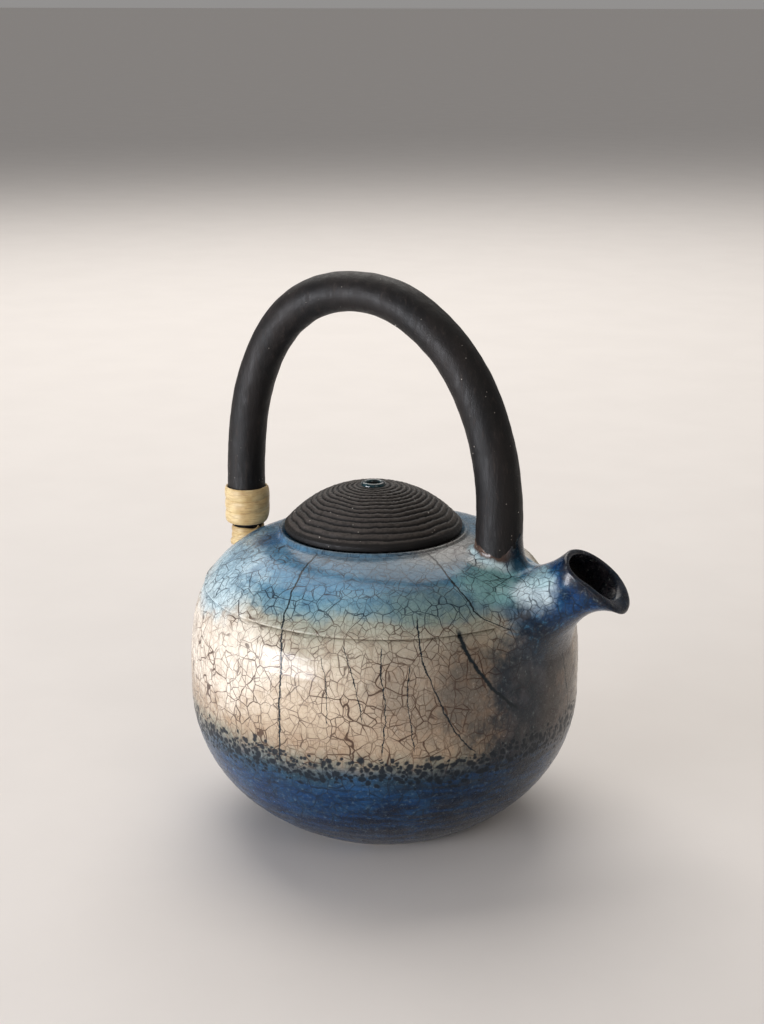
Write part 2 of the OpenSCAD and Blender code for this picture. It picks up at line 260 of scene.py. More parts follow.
# Raku-fired crackle glaze over stoneware: brushed blue, cream and cobalt under one deep gloss,
# crazed into cells whose cracks the smoke has stained.
def crackleGlaze():
    material, tree, place = newMaterial("Raku crackle glaze")
    wander = add(tree, "ShaderNodeTexNoise", {"Vector": place, "Scale": 1 / 13, "Detail": 2,
        "Roughness": 0.55}).outputs["Color"]
    wander = add(tree, "ShaderNodeVectorMath", {0: wander, 1: (0.5, 0.5, 0.5)},
        operation="SUBTRACT").outputs[0]
    bent = add(tree, "ShaderNodeVectorMath", {0: wander, 1: (5.0, 5.0, 5.0), 2: place},
        operation="MULTIPLY_ADD").outputs[0]
    fine = add(tree, "ShaderNodeVectorMath", {0: add(tree, "ShaderNodeTexNoise", {"Vector": place,
        "Scale": 1 / 3.2, "Detail": 2, "Roughness": 0.55}).outputs["Color"], 1: (0.45, 0.45, 0.45),
        2: bent}, operation="MULTIPLY_ADD").outputs[0]
    axes = add(tree, "ShaderNodeSeparateXYZ", {0: place}).outputs
    x, y, height = axes[0], axes[1], axes[2]
    azimuth = add(tree, "ShaderNodeMath", {0: add(tree, "ShaderNodeMath", {0: y, 1: x},
        operation="ARCTAN2").outputs[0], 1: 180 / math.pi}, operation="MULTIPLY").outputs[0]
    radius = add(tree, "ShaderNodeMath", {0: add(tree, "ShaderNodeMath", {0: add(tree, "ShaderNodeMath",
        {0: x, 1: x}, operation="MULTIPLY").outputs[0], 1: add(tree, "ShaderNodeMath", {0: y, 1: y},
        operation="MULTIPLY").outputs[0]}, operation="ADD").outputs[0]}, operation="SQRT").outputs[0]
    broad = add(tree, "ShaderNodeTexNoise", {"Vector": place, "Scale": 1 / 30, "Detail": 3,
        "Roughness": 0.55}).outputs[0]
    mid = add(tree, "ShaderNodeTexNoise", {"Vector": place, "Scale": 1 / 7, "Detail": 5,
        "Roughness": 0.65}).outputs[0]
    small = add(tree, "ShaderNodeTexNoise", {"Vector": place, "Scale": 1 / 1.6, "Detail": 4,
        "Roughness": 0.7}).outputs[0]

    # Brushed glazes by height
    level = add(tree, "ShaderNodeMath", {0: add(tree, "ShaderNodeMath", {0: broad, 1: 0.5},
        operation="SUBTRACT").outputs[0], 1: crackle["zoneShift"] * 2, 2: height},
        operation="MULTIPLY_ADD").outputs[0]
    level = add(tree, "ShaderNodeMath", {0: add(tree, "ShaderNodeMath", {0: mid, 1: 0.5},
        operation="SUBTRACT").outputs[0], 1: crackle["zoneFeather"] * 2, 2: level},
        operation="MULTIPLY_ADD").outputs[0]
    top = crackle["zones"][-1][0]
    zoneRamp = add(tree, "ShaderNodeValToRGB", {0: add(tree, "ShaderNodeMath", {0: level, 1: top},
        operation="DIVIDE").outputs[0]})
    stops = zoneRamp.color_ramp.elements
    while len(stops) < len(crackle["zones"]):
        stops.new(0.5)
    for stop, (zoneZ, tint) in zip(stops, crackle["zones"]):
        stop.position, stop.color = zoneZ / top, hexColour(tint)
    colour = zoneRamp.outputs[0]
    ragged = add(tree, "ShaderNodeMath", {0: add(tree, "ShaderNodeMath", {0: mid, 1: 0.5},
        operation="SUBTRACT").outputs[0], 1: 0.9}, operation="MULTIPLY").outputs[0]
    # Patches of other glaze, some of them painted shade, laid over the zones
    for tint, middle, halfSizes, strength in crackle["patches"]:
        mask = patchMask(tree, place, ragged, middle, halfSizes)
        colour = add(tree, "ShaderNodeMix", {0: add(tree, "ShaderNodeMath", {0: mask, 1: strength},
            operation="MULTIPLY").outputs[0], 6: colour, 7: tint}, data_type="RGBA").outputs[2]

    # Brush marks run round the cobalt
    laid = add(tree, "ShaderNodeVectorMath", {0: bent, 1: (0.22, 0.22, 1.5)},
        operation="MULTIPLY").outputs[0]
    brushed = add(tree, "ShaderNodeMath", {0: add(tree, "ShaderNodeMapRange", {"Value": add(tree,
        "ShaderNodeTexNoise", {"Vector": laid, "Scale": 1 / 3.4, "Detail": 4,
        "Roughness": 0.55}).outputs[0], "From Min": 0.42, "From Max": 0.68},
        interpolation_type="SMOOTHSTEP").outputs[0], 1: add(tree, "ShaderNodeMapRange", {"Value": level,
        "From Min": 50, "From Max": 40}, interpolation_type="SMOOTHSTEP").outputs[0]},
        operation="MULTIPLY").outputs[0]
    colour = add(tree, "ShaderNodeMix", {0: add(tree, "ShaderNodeMath", {0: brushed, 1: 0.5},
        operation="MULTIPLY").outputs[0], 6: colour, 7: "#1c4878"}, data_type="RGBA").outputs[2]
    dark = add(tree, "ShaderNodeMath", {0: add(tree, "ShaderNodeMapRange", {"Value": add(tree,
        "ShaderNodeTexNoise", {"Vector": laid, "Scale": 1 / 2.2, "Detail": 3,
        "Roughness": 0.55}).outputs[0], "From Min": 0.5, "From Max": 0.7},
        interpolation_type="SMOOTHSTEP").outputs[0], 1: add(tree, "ShaderNodeMapRange", {"Value": level,
        "From Min": 48, "From Max": 38}, interpolation_type="SMOOTHSTEP").outputs[0]},
        operation="MULTIPLY").outputs[0]
    colour = add(tree, "ShaderNodeMix", {0: add(tree, "ShaderNodeMath", {0: dark, 1: 0.65},
        operation="MULTIPLY").outputs[0], 6: colour, 7: "#081422"}, data_type="RGBA").outputs[2]

    # Towards the spout's lip the blue deepens and turns black
    flow = add(tree, "ShaderNodeAttribute", attribute_name="toLip").outputs["Fac"]
    within = add(tree, "ShaderNodeAttribute", attribute_name="within").outputs["Fac"]
    flowing = add(tree, "ShaderNodeMath", {0: add(tree, "ShaderNodeMath", {0: mid, 1: 0.5},
        operation="SUBTRACT").outputs[0], 1: 0.35, 2: flow}, operation="MULTIPLY_ADD").outputs[0]
    colour = add(tree, "ShaderNodeMix", {0: add(tree, "ShaderNodeMapRange", {"Value": flowing,
        "From Min": 0.4, "From Max": 0.72}, interpolation_type="SMOOTHSTEP").outputs[0], 6: colour,
        7: "#123d6c"}, data_type="RGBA").outputs[2]
    streak = add(tree, "ShaderNodeVectorMath", {0: bent, 1: (0.35, 1.4, 1.4)},
        operation="MULTIPLY").outputs[0]
    runs = add(tree, "ShaderNodeTexNoise", {"Vector": streak, "Scale": 1 / 4.2, "Detail": 4,
        "Roughness": 0.65}).outputs[0]
    onSpout = add(tree, "ShaderNodeMapRange", {"Value": flow, "From Min": 0.12, "From Max": 0.4},
        interpolation_type="SMOOTHSTEP").outputs[0]
    colour = add(tree, "ShaderNodeMix", {0: add(tree, "ShaderNodeMath", {0: add(tree, "ShaderNodeMapRange",
        {"Value": runs, "From Min": 0.46, "From Max": 0.62, "To Min": 0, "To Max": 0.75},
        interpolation_type="SMOOTHSTEP").outputs[0], 1: onSpout}, operation="MULTIPLY").outputs[0],
        6: colour, 7: "#08182c"}, data_type="RGBA").outputs[2]
    colour = add(tree, "ShaderNodeMix", {0: add(tree, "ShaderNodeMath", {0: add(tree, "ShaderNodeMapRange",
        {"Value": runs, "From Min": 0.45, "From Max": 0.32, "To Min": 0, "To Max": 0.6},
        interpolation_type="SMOOTHSTEP").outputs[0], 1: onSpout}, operation="MULTIPLY").outputs[0],
        6: colour, 7: "#4d86ab"}, data_type="RGBA").outputs[2]
    # Patches on the spout, one of them a painted highlight
    for tint, middle, halfSizes, strength in crackle["spoutPatches"]:
        mask = patchMask(tree, place, ragged, middle, halfSizes)
        colour = add(tree, "ShaderNodeMix", {0: add(tree, "ShaderNodeMath", {0: mask, 1: strength},
            operation="MULTIPLY").outputs[0], 6: colour, 7: tint}, data_type="RGBA").outputs[2]
    colour = add(tree, "ShaderNodeMix", {0: add(tree, "ShaderNodeMapRange", {"Value": flowing,
        "From Min": 0.8, "From Max": 1.0, "To Min": 0, "To Max": 0.92},
        interpolation_type="SMOOTHSTEP").outputs[0], 6: colour, 7: "#10161c"}, data_type="RGBA").outputs[2]
    # Painted shade: the inside of the spout is painted near black
    colour = add(tree, "ShaderNodeMix", {0: add(tree, "ShaderNodeMapRange", {"Value": within,
        "From Min": 0.1, "From Max": 0.5}, interpolation_type="SMOOTHSTEP").outputs[0], 6: colour,
        7: "#0d141b"}, data_type="RGBA").outputs[2]

    # The smear round the handle's foot: white at its hem, brown above, dark where it faces the spout
    climb = add(tree, "ShaderNodeAttribute", attribute_name="climb").outputs["Fac"]
    climbing = add(tree, "ShaderNodeMath", {0: add(tree, "ShaderNodeMath", {0: mid, 1: 0.5},
        operation="SUBTRACT").outputs[0], 1: 0.5, 2: climb}, operation="MULTIPLY_ADD").outputs[0]
    side = add(tree, "ShaderNodeMapRange", {"Value": add(tree, "ShaderNodeMath", {0: x, 1: y},
        operation="ADD").outputs[0], "From Min": 44, "From Max": 54},
        interpolation_type="SMOOTHSTEP").outputs[0]
    hem = add(tree, "ShaderNodeMix", {0: side, 6: "#b9cdd0", 7: "#244a5c"}, data_type="RGBA").outputs[2]
    crown = add(tree, "ShaderNodeMix", {0: side, 6: "#4b3c34", 7: "#12222c"}, data_type="RGBA").outputs[2]
    colour = add(tree, "ShaderNodeMix", {0: add(tree, "ShaderNodeMapRange", {"Value": climbing,
        "From Min": 0.1, "From Max": 0.4}, interpolation_type="SMOOTHSTEP").outputs[0], 6: colour, 7: hem},
        data_type="RGBA").outputs[2]
    colour = add(tree, "ShaderNodeMix", {0: add(tree, "ShaderNodeMapRange", {"Value": climbing,
        "From Min": 0.45, "From Max": 0.75}, interpolation_type="SMOOTHSTEP").outputs[0], 6: colour,
        7: crown}, data_type="RGBA").outputs[2]

    # Warm where the glaze underneath is cream, so that cracks turn brown there
    tones = add(tree, "ShaderNodeSeparateColor", {0: colour}).outputs
    warm = add(tree, "ShaderNodeMapRange", {"Value": add(tree, "ShaderNodeMath", {0: tones[0], 1: tones[2]},
        operation="SUBTRACT").outputs[0], "From Min": -0.06, "From Max": 0.06},
        interpolation_type="SMOOTHSTEP").outputs[0]

    # Clouds and stains in the glaze
    colour = add(tree, "ShaderNodeMix", {0: add(tree, "ShaderNodeMapRange", {"Value": broad,
        "From Min": 0.35, "From Max": 0.75, "To Min": 0, "To Max": 0.35},
        interpolation_type="SMOOTHSTEP").outputs[0], 6: colour, 7: "#5f6f78"}, data_type="RGBA",
        blend_type="SOFT_LIGHT").outputs[2]
    colour = add(tree, "ShaderNodeMix", {0: add(tree, "ShaderNodeMapRange", {"Value": mid, "From Min": 0.42,
        "From Max": 0.72, "To Min": 0, "To Max": 0.42}, interpolation_type="SMOOTHSTEP").outputs[0],
        6: colour, 7: add(tree, "ShaderNodeMix", {0: warm, 6: "#274b66", 7: "#8a6b52"},
        data_type="RGBA").outputs[2]}, data_type="RGBA").outputs[2]
    colour = add(tree, "ShaderNodeMix", {0: add(tree, "ShaderNodeMapRange", {"Value": small,
        "From Min": 0.55, "From Max": 0.8, "To Min": 0, "To Max": 0.3},
        interpolation_type="SMOOTHSTEP").outputs[0], 6: colour, 7: add(tree, "ShaderNodeMix", {0: warm,
        6: "#a9c6cc", 7: "#efe6d6"}, data_type="RGBA").outputs[2]}, data_type="RGBA").outputs[2]

    # Crazing in three sizes of cell
    lines = None
    halo = None
    squeezed = add(tree, "ShaderNodeVectorMath", {0: fine, 1: (1.0, 1.0, 0.86)},
        operation="MULTIPLY").outputs[0]
    for size, width, strength in crackle["cells"]:
        edge = add(tree, "ShaderNodeTexVoronoi", {"Vector": squeezed, "Scale": 1 / size, "Randomness": 0.8},
            feature="DISTANCE_TO_EDGE").outputs["Distance"]
        away = add(tree, "ShaderNodeMath", {0: edge, 1: size}, operation="MULTIPLY").outputs[0]
        uneven = add(tree, "ShaderNodeMapRange", {"Value": add(tree, "ShaderNodeTexNoise", {"Vector": place,
            "Scale": 1 / (size * 1.7), "Detail": 2, "Roughness": 0.55}).outputs[0], "From Min": 0.34,
            "From Max": 0.6, "To Min": 0.45, "To Max": 1.0}, interpolation_type="SMOOTHSTEP").outputs[0]
        reach = add(tree, "ShaderNodeMath", {0: uneven, 1: width}, operation="MULTIPLY").outputs[0]
        mask = add(tree, "ShaderNodeMapRange", {"Value": add(tree, "ShaderNodeMath", {0: away, 1: reach},
            operation="DIVIDE").outputs[0], "From Min": 1.35, "From Max": 0.55},
            interpolation_type="SMOOTHSTEP").outputs[0]
        mask = add(tree, "ShaderNodeMath", {0: add(tree, "ShaderNodeMath", {0: mask, 1: strength},
            operation="MULTIPLY").outputs[0], 1: uneven}, operation="MULTIPLY").outputs[0]
        stain = add(tree, "ShaderNodeMapRange", {"Value": away, "From Min": width * 4.5, "From Max": 0,
            "To Min": 0, "To Max": strength * 0.22}, interpolation_type="SMOOTHSTEP").outputs[0]
        lines = mask if lines is None else add(tree, "ShaderNodeMath", {0: lines, 1: mask},
            operation="MAXIMUM").outputs[0]
        halo = stain if halo is None else add(tree, "ShaderNodeMath", {0: halo, 1: stain},
            operation="MAXIMUM").outputs[0]
    colour = add(tree, "ShaderNodeMix", {0: add(tree, "ShaderNodeMath", {0: halo, 1: add(tree,
        "ShaderNodeMapRange", {"Value": broad, "From Min": 0.35, "From Max": 0.65, "To Min": 0.35,
        "To Max": 1}, interpolation_type="SMOOTHSTEP").outputs[0]}, operation="MULTIPLY").outputs[0],
        6: colour, 7: add(tree, "ShaderNodeMix", {0: warm, 6: "#3a5c74", 7: crackle["haloOnCream"]},
        data_type="RGBA").outputs[2]}, data_type="RGBA", blend_type="MULTIPLY").outputs[2]
    lineColour = add(tree, "ShaderNodeMix", {0: warm, 6: crackle["lineOnBlue"], 7: crackle["lineOnCream"]},
        data_type="RGBA").outputs[2]
    colour = add(tree, "ShaderNodeMix", {0: lines, 6: colour, 7: lineColour}, data_type="RGBA").outputs[2]

    # Long cracks opened by the fire
    shake = add(tree, "ShaderNodeMath", {0: add(tree, "ShaderNodeMath", {0: add(tree, "ShaderNodeTexNoise",
        {"Vector": place, "Scale": 1 / 4, "Detail": 4, "Roughness": 0.7}).outputs[0], 1: 0.5},
        operation="SUBTRACT").outputs[0], 1: 2.2}, operation="MULTIPLY").outputs[0]
    crooked = add(tree, "ShaderNodeMath", {0: azimuth, 1: shake}, operation="ADD").outputs[0]
    wide = None
    for points, halfWidth in crackle["longCracks"]:
        mask = longCrackMask(tree, crooked, height, radius, points, halfWidth)
        wide = mask if wide is None else add(tree, "ShaderNodeMath", {0: wide, 1: mask},
            operation="MAXIMUM").outputs[0]
    colour = add(tree, "ShaderNodeMix", {0: wide, 6: colour, 7: "#0f1a20"}, data_type="RGBA").outputs[2]

    # Pits that broke through where cream meets cobalt
    low, peak, high = crackle["speckleBand"]
    band = add(tree, "ShaderNodeMath", {0: add(tree, "ShaderNodeMapRange", {"Value": level, "From Min": low,
        "From Max": peak}, interpolation_type="SMOOTHSTEP").outputs[0], 1: add(tree, "ShaderNodeMapRange",
        {"Value": level, "From Min": high, "From Max": peak}, interpolation_type="SMOOTHSTEP").outputs[0]},
        operation="MULTIPLY").outputs[0]
    pits = None
    for size, reach in crackle["speckles"]:
        spot = add(tree, "ShaderNodeTexVoronoi", {"Vector": fine, "Scale": 1 / size, "Randomness": 1.0})
        chosen = add(tree, "ShaderNodeSeparateColor", {0: spot.outputs["Color"]}).outputs[0]
        here = add(tree, "ShaderNodeMapRange", {"Value": add(tree, "ShaderNodeMath", {0: add(tree,
            "ShaderNodeMath", {0: band, 1: 1.2}, operation="MULTIPLY").outputs[0], 1: chosen},
            operation="SUBTRACT").outputs[0], "From Min": 0.0, "From Max": 0.1},
            interpolation_type="SMOOTHSTEP").outputs[0]
        dot = add(tree, "ShaderNodeMath", {0: add(tree, "ShaderNodeMapRange",
            {"Value": spot.outputs["Distance"], "From Min": reach * 1.3, "From Max": reach * 0.7},
            interpolation_type="SMOOTHSTEP").outputs[0], 1: here}, operation="MULTIPLY").outputs[0]
        pits = dot if pits is None else add(tree, "ShaderNodeMath", {0: pits, 1: dot},
            operation="MAXIMUM").outputs[0]
    colour = add(tree, "ShaderNodeMix", {0: add(tree, "ShaderNodeMath", {0: pits, 1: 0.94},
        operation="MULTIPLY").outputs[0], 6: colour, 7: "#0a151f"}, data_type="RGBA").outputs[2]

    # Cracks and pits are sunk, the glaze itself rolls a little
    sunk = add(tree, "ShaderNodeMath", {0: add(tree, "ShaderNodeMath", {0: lines, 1: 0.35},
        operation="MULTIPLY").outputs[0], 1: add(tree, "ShaderNodeMath", {0: wide, 1: pits},
        operation="MAXIMUM").outputs[0]}, operation="MAXIMUM").outputs[0]
    relief = add(tree, "ShaderNodeMath", {0: sunk, 1: -0.5, 2: add(tree, "ShaderNodeMath", {0: mid, 1: 0.5},
        operation="MULTIPLY").outputs[0]}, operation="MULTIPLY_ADD").outputs[0]
    bump = add(tree, "ShaderNodeBump", {"Strength": 0.35, "Distance": 0.0006, "Height": relief}).outputs[0]
    roll = add(tree, "ShaderNodeBump", {"Strength": 0.3, "Distance": 0.0012, "Height": broad}).outputs[0]
    roughness = add(tree, "ShaderNodeMath", {0: sunk, 1: 0.3, 2: add(tree, "ShaderNodeMapRange",
        {"Value": small, "From Min": 0.3, "From Max": 0.8, "To Min": 0.2, "To Max": 0.38},
        interpolation_type="SMOOTHSTEP").outputs[0]}, operation="MULTIPLY_ADD").outputs[0]
    shader = add(tree, "ShaderNodeBsdfPrincipled", {"Base Color": colour, "Roughness": roughness,
        "Normal": bump, "IOR": 1.4, "Specular IOR Level": 0.22, "Coat Weight": 0.24, "Coat Roughness": 0.12,
        "Coat Normal": roll})
    add(tree, "ShaderNodeOutputMaterial", {"Surface": shader.outputs[0]})
    return material


# Clear liner glaze over stoneware inside the pot: warm grey cream, satin, faint crazing
def linerGlaze():
    material, tree, place = newMaterial("Liner glaze on stoneware")
    broad = add(tree, "ShaderNodeTexNoise", {"Vector": place, "Scale": 1 / 18, "Detail": 4,
        "Roughness": 0.55}).outputs[0]
    edge = add(tree, "ShaderNodeTexVoronoi", {"Vector": place, "Scale": 1 / 7},
        feature="DISTANCE_TO_EDGE").outputs[0]
    colour = add(tree, "ShaderNodeMix", {0: add(tree, "ShaderNodeMapRange", {"Value": broad,
        "From Min": 0.3, "From Max": 0.7}, interpolation_type="SMOOTHSTEP").outputs[0], 6: "#a99b86",
        7: "#8d8171"}, data_type="RGBA").outputs[2]
    colour = add(tree, "ShaderNodeMix", {0: add(tree, "ShaderNodeMapRange", {"Value": edge,
        "From Min": 0.03, "From Max": 0.01, "To Min": 0, "To Max": 0.5},
        interpolation_type="SMOOTHSTEP").outputs[0], 6: colour, 7: "#5b4a3c"}, data_type="RGBA").outputs[2]
    bump = add(tree, "ShaderNodeBump", {"Strength": 0.2, "Distance": 0.0005, "Height": broad}).outputs[0]
    shader = add(tree, "ShaderNodeBsdfPrincipled", {"Base Color": colour, "Roughness": add(tree,
        "ShaderNodeMapRange", {"Value": broad, "From Min": 0.2, "From Max": 0.8, "To Min": 0.25,
        "To Max": 0.4}, interpolation_type="SMOOTHSTEP").outputs[0], "Normal": bump, "IOR": 1.5})
    add(tree, "ShaderNodeOutputMaterial", {"Surface": shader.outputs[0]})
    return material


# Unglazed stoneware, wiped clean at the foot and on the strainer: matt, sandy, grog showing
def bareClay():
    material, tree, place = newMaterial("Unglazed stoneware")
    cloud = add(tree, "ShaderNodeTexNoise", {"Vector": place, "Scale": 1 / 9, "Detail": 4,
        "Roughness": 0.55}).outputs[0]
    grit = add(tree, "ShaderNodeTexVoronoi", {"Vector": place, "Scale": 1 / 0.9}).outputs
    pick = add(tree, "ShaderNodeSeparateColor", {0: grit["Color"]}).outputs[0]
    grog = add(tree, "ShaderNodeMath", {0: add(tree, "ShaderNodeMapRange", {"Value": grit["Distance"],
        "From Min": 0.4, "From Max": 0.2}, interpolation_type="SMOOTHSTEP").outputs[0], 1: add(tree,
        "ShaderNodeMapRange", {"Value": pick, "From Min": 0.8, "From Max": 0.85},
        interpolation_type="SMOOTHSTEP").outputs[0]}, operation="MULTIPLY").outputs[0]
    colour = add(tree, "ShaderNodeMix", {0: add(tree, "ShaderNodeMapRange", {"Value": cloud,
        "From Min": 0.3, "From Max": 0.7}, interpolation_type="SMOOTHSTEP").outputs[0], 6: "#8f7b63",
        7: "#a8937a"}, data_type="RGBA").outputs[2]
    colour = add(tree, "ShaderNodeMix", {0: grog, 6: colour, 7: "#5d4a3a"}, data_type="RGBA").outputs[2]
    bump = add(tree, "ShaderNodeBump", {"Strength": 0.5, "Distance": 0.0003, "Height": add(tree,
        "ShaderNodeTexNoise", {"Vector": place, "Scale": 1 / 0.8, "Detail": 4,
        "Roughness": 0.55}).outputs[0]}).outputs[0]
    shader = add(tree, "ShaderNodeBsdfPrincipled", {"Base Color": colour, "Roughness": 0.85,
        "Normal": bump})
    add(tree, "ShaderNodeOutputMaterial", {"Surface": shader.outputs[0]})
    return material


# Black clay, carbonised in smoke and rubbed: satin, charcoal with brown bloom, paler on its crests, with
# painted shade in the grooves between them
def smokedClay(name, tones, streak, crestTone=None, roughRange=(0.42, 0.62)):
    material, tree, place = newMaterial(name)
    stretched = add(tree, "ShaderNodeVectorMath", {0: place, 1: streak}, operation="MULTIPLY").outputs[0]
    bloom = add(tree, "ShaderNodeTexNoise", {"Vector": stretched, "Scale": 1 / 9, "Detail": 4,
        "Roughness": 0.55}).outputs[0]
    scratch = add(tree, "ShaderNodeTexNoise", {"Vector": stretched, "Scale": 1 / 1.7, "Detail": 5,
        "Roughness": 0.7}).outputs[0]
    tooth = add(tree, "ShaderNodeTexNoise", {"Vector": place, "Scale": 1 / 0.5, "Detail": 3,
        "Roughness": 0.7}).outputs[0]
    colour = add(tree, "ShaderNodeMix", {0: add(tree, "ShaderNodeMapRange", {"Value": bloom,
        "From Min": 0.35, "From Max": 0.68}, interpolation_type="SMOOTHSTEP").outputs[0], 6: tones[0],
        7: tones[1]}, data_type="RGBA").outputs[2]
    colour = add(tree, "ShaderNodeMix", {0: add(tree, "ShaderNodeMapRange", {"Value": scratch,
        "From Min": 0.52, "From Max": 0.75, "To Min": 0, "To Max": 0.55},
        interpolation_type="SMOOTHSTEP").outputs[0], 6: colour, 7: tones[2]}, data_type="RGBA").outputs[2]
    if crestTone:
        crest = add(tree, "ShaderNodeAttribute", attribute_name="crest").outputs["Fac"]
        worn = add(tree, "ShaderNodeMath", {0: add(tree, "ShaderNodeMapRange", {"Value": crest,
            "From Min": 0.45, "From Max": 1.0}, interpolation_type="SMOOTHSTEP").outputs[0], 1: add(tree,
            "ShaderNodeMapRange", {"Value": scratch, "From Min": 0.3, "From Max": 0.65, "To Min": 0.35,
            "To Max": 1}, interpolation_type="SMOOTHSTEP").outputs[0]}, operation="MULTIPLY").outputs[0]
        # Painted shade: near black in the grooves between the ribs
        colour = add(tree, "ShaderNodeMix", {0: add(tree, "ShaderNodeMapRange", {"Value": crest,
            "From Min": 0.35, "From Max": 0.0, "To Min": 0, "To Max": 0.7},
            interpolation_type="SMOOTHSTEP").outputs[0], 6: colour, 7: "#060505"},
            data_type="RGBA").outputs[2]
        colour = add(tree, "ShaderNodeMix", {0: worn, 6: colour, 7: crestTone}, data_type="RGBA").outputs[2]
    spot = add(tree, "ShaderNodeTexVoronoi", {"Vector": place, "Scale": 1 / 1.6}).outputs
    pick = add(tree, "ShaderNodeSeparateColor", {0: spot["Color"]}).outputs[0]
    ash = add(tree, "ShaderNodeMath", {0: add(tree, "ShaderNodeMapRange", {"Value": spot["Distance"],
        "From Min": 0.16, "From Max": 0.08}, interpolation_type="SMOOTHSTEP").outputs[0], 1: add(tree,
        "ShaderNodeMapRange", {"Value": pick, "From Min": 0.93, "From Max": 0.95},
        interpolation_type="SMOOTHSTEP").outputs[0]}, operation="MULTIPLY").outputs[0]
    colour = add(tree, "ShaderNodeMix", {0: add(tree, "ShaderNodeMath", {0: ash, 1: 0.7},
        operation="MULTIPLY").outputs[0], 6: colour, 7: "#9b948b"}, data_type="RGBA").outputs[2]
    relief = add(tree, "ShaderNodeMath", {0: scratch, 1: 1.0, 2: add(tree, "ShaderNodeMath", {0: tooth,
        1: 0.5}, operation="MULTIPLY").outputs[0]}, operation="MULTIPLY_ADD").outputs[0]
    bump = add(tree, "ShaderNodeBump", {"Strength": 0.45, "Distance": 0.0004, "Height": relief}).outputs[0]
    roughness = add(tree, "ShaderNodeMapRange", {"Value": scratch, "From Min": 0.3, "From Max": 0.7,
        "To Min": roughRange[0], "To Max": roughRange[1]}, interpolation_type="SMOOTHSTEP").outputs[0]
    shader = add(tree, "ShaderNodeBsdfPrincipled", {"Base Color": colour, "Roughness": roughness,
        "Normal": bump, "IOR": 1.45, "Specular IOR Level": 0.3})
    add(tree, "ShaderNodeOutputMaterial", {"Surface": shader.outputs[0]})
    return material


# Split cane, wound damp: straw yellow, long pale fibres with brown seams, satin skin
def splitCane():
    material, tree, place = newMaterial("Split cane")
    flat = add(tree, "ShaderNodeVectorMath", {0: place, 1: (0.25, 0.25, 2.2)},
        operation="MULTIPLY").outputs[0]
    fibre = add(tree, "ShaderNodeTexNoise", {"Vector": flat, "Scale": 1 / 1.1, "Detail": 4,
        "Roughness": 0.6, "Distortion": 0.4}).outputs[0]
    cloud = add(tree, "ShaderNodeTexNoise", {"Vector": place, "Scale": 1 / 7, "Detail": 3,
        "Roughness": 0.55}).outputs[0]
    colour = add(tree, "ShaderNodeMix", {0: add(tree, "ShaderNodeMapRange", {"Value": cloud,
        "From Min": 0.3, "From Max": 0.7}, interpolation_type="SMOOTHSTEP").outputs[0], 6: "#d3bc8b",
        7: "#b29461"}, data_type="RGBA").outputs[2]
    colour = add(tree, "ShaderNodeMix", {0: add(tree, "ShaderNodeMapRange", {"Value": fibre,
        "From Min": 0.45, "From Max": 0.75, "To Min": 0, "To Max": 0.75},
        interpolation_type="SMOOTHSTEP").outputs[0], 6: colour, 7: "#94744a"}, data_type="RGBA").outputs[2]
    colour = add(tree, "ShaderNodeMix", {0: add(tree, "ShaderNodeMapRange", {"Value": fibre,
        "From Min": 0.42, "From Max": 0.2, "To Min": 0, "To Max": 0.5},
        interpolation_type="SMOOTHSTEP").outputs[0], 6: colour, 7: "#f3e6c4"}, data_type="RGBA").outputs[2]
    bump = add(tree, "ShaderNodeBump", {"Strength": 0.5, "Distance": 0.0003, "Height": fibre}).outputs[0]
    shader = add(tree, "ShaderNodeBsdfPrincipled", {"Base Color": colour, "Roughness": add(tree,
        "ShaderNodeMapRange", {"Value": fibre, "From Min": 0.2, "From Max": 0.8, "To Min": 0.38,
        "To Max": 0.6}, interpolation_type="SMOOTHSTEP").outputs[0], "Normal": bump, "Sheen Weight": 0.15})
    add(tree, "ShaderNodeOutputMaterial", {"Surface": shader.outputs[0]})
    return material


# Dark teal glaze pooled round the steam hole: wet gloss, nearly black where it is thick
def ventGlaze():
    material, tree, place = newMaterial("Pooled teal glaze")
    cloud = add(tree, "ShaderNodeTexNoise", {"Vector": place, "Scale": 1 / 2.2, "Detail": 3,
        "Roughness": 0.55}).outputs[0]
    colour = add(tree, "ShaderNodeMix", {0: add(tree, "ShaderNodeMapRange", {"Value": cloud,
        "From Min": 0.35, "From Max": 0.65}, interpolation_type="SMOOTHSTEP").outputs[0], 6: "#0a1d22",
        7: "#133a41"}, data_type="RGBA").outputs[2]
    colour = add(tree, "ShaderNodeMix", {0: add(tree, "ShaderNodeMapRange", {"Value": add(tree,
        "ShaderNodeTexNoise", {"Vector": place, "Scale": 1 / 0.9, "Detail": 2,
        "Roughness": 0.55}).outputs[0], "From Min": 0.6, "From Max": 0.75, "To Min": 0, "To Max": 0.4},
        interpolation_type="SMOOTHSTEP").outputs[0], 6: colour, 7: "#3f5550"}, data_type="RGBA").outputs[2]
    bump = add(tree, "ShaderNodeBump", {"Strength": 0.3, "Distance": 0.0003, "Height": cloud}).outputs[0]
    shader = add(tree, "ShaderNodeBsdfPrincipled", {"Base Color": colour, "Roughness": add(tree,
        "ShaderNodeMapRange", {"Value": cloud, "From Min": 0.2, "From Max": 0.8, "To Min": 0.1,
        "To Max": 0.25}, interpolation_type="SMOOTHSTEP").outputs[0], "Normal": bump, "Coat Weight": 0.15})
    add(tree, "ShaderNodeOutputMaterial", {"Surface": shader.outputs[0]})
    return material


glaze = crackleGlaze()
liner = linerGlaze()
bare = bareClay()
handleClay = smokedClay("Smoked clay, pulled and burnished", ("#0d0c0d", "#1a1615", "#3b332f"), (1.0, 1.0,
    0.16))
lidClay = smokedClay("Smoked clay, thrown ribs", ("#0b0a0a", "#13100f", "#211d1c"), (1.0, 1.0, 1.0),
    "#46403c",
    (0.45, 0.7))
cane = splitCane()
teal = ventGlaze()
print("materials made")

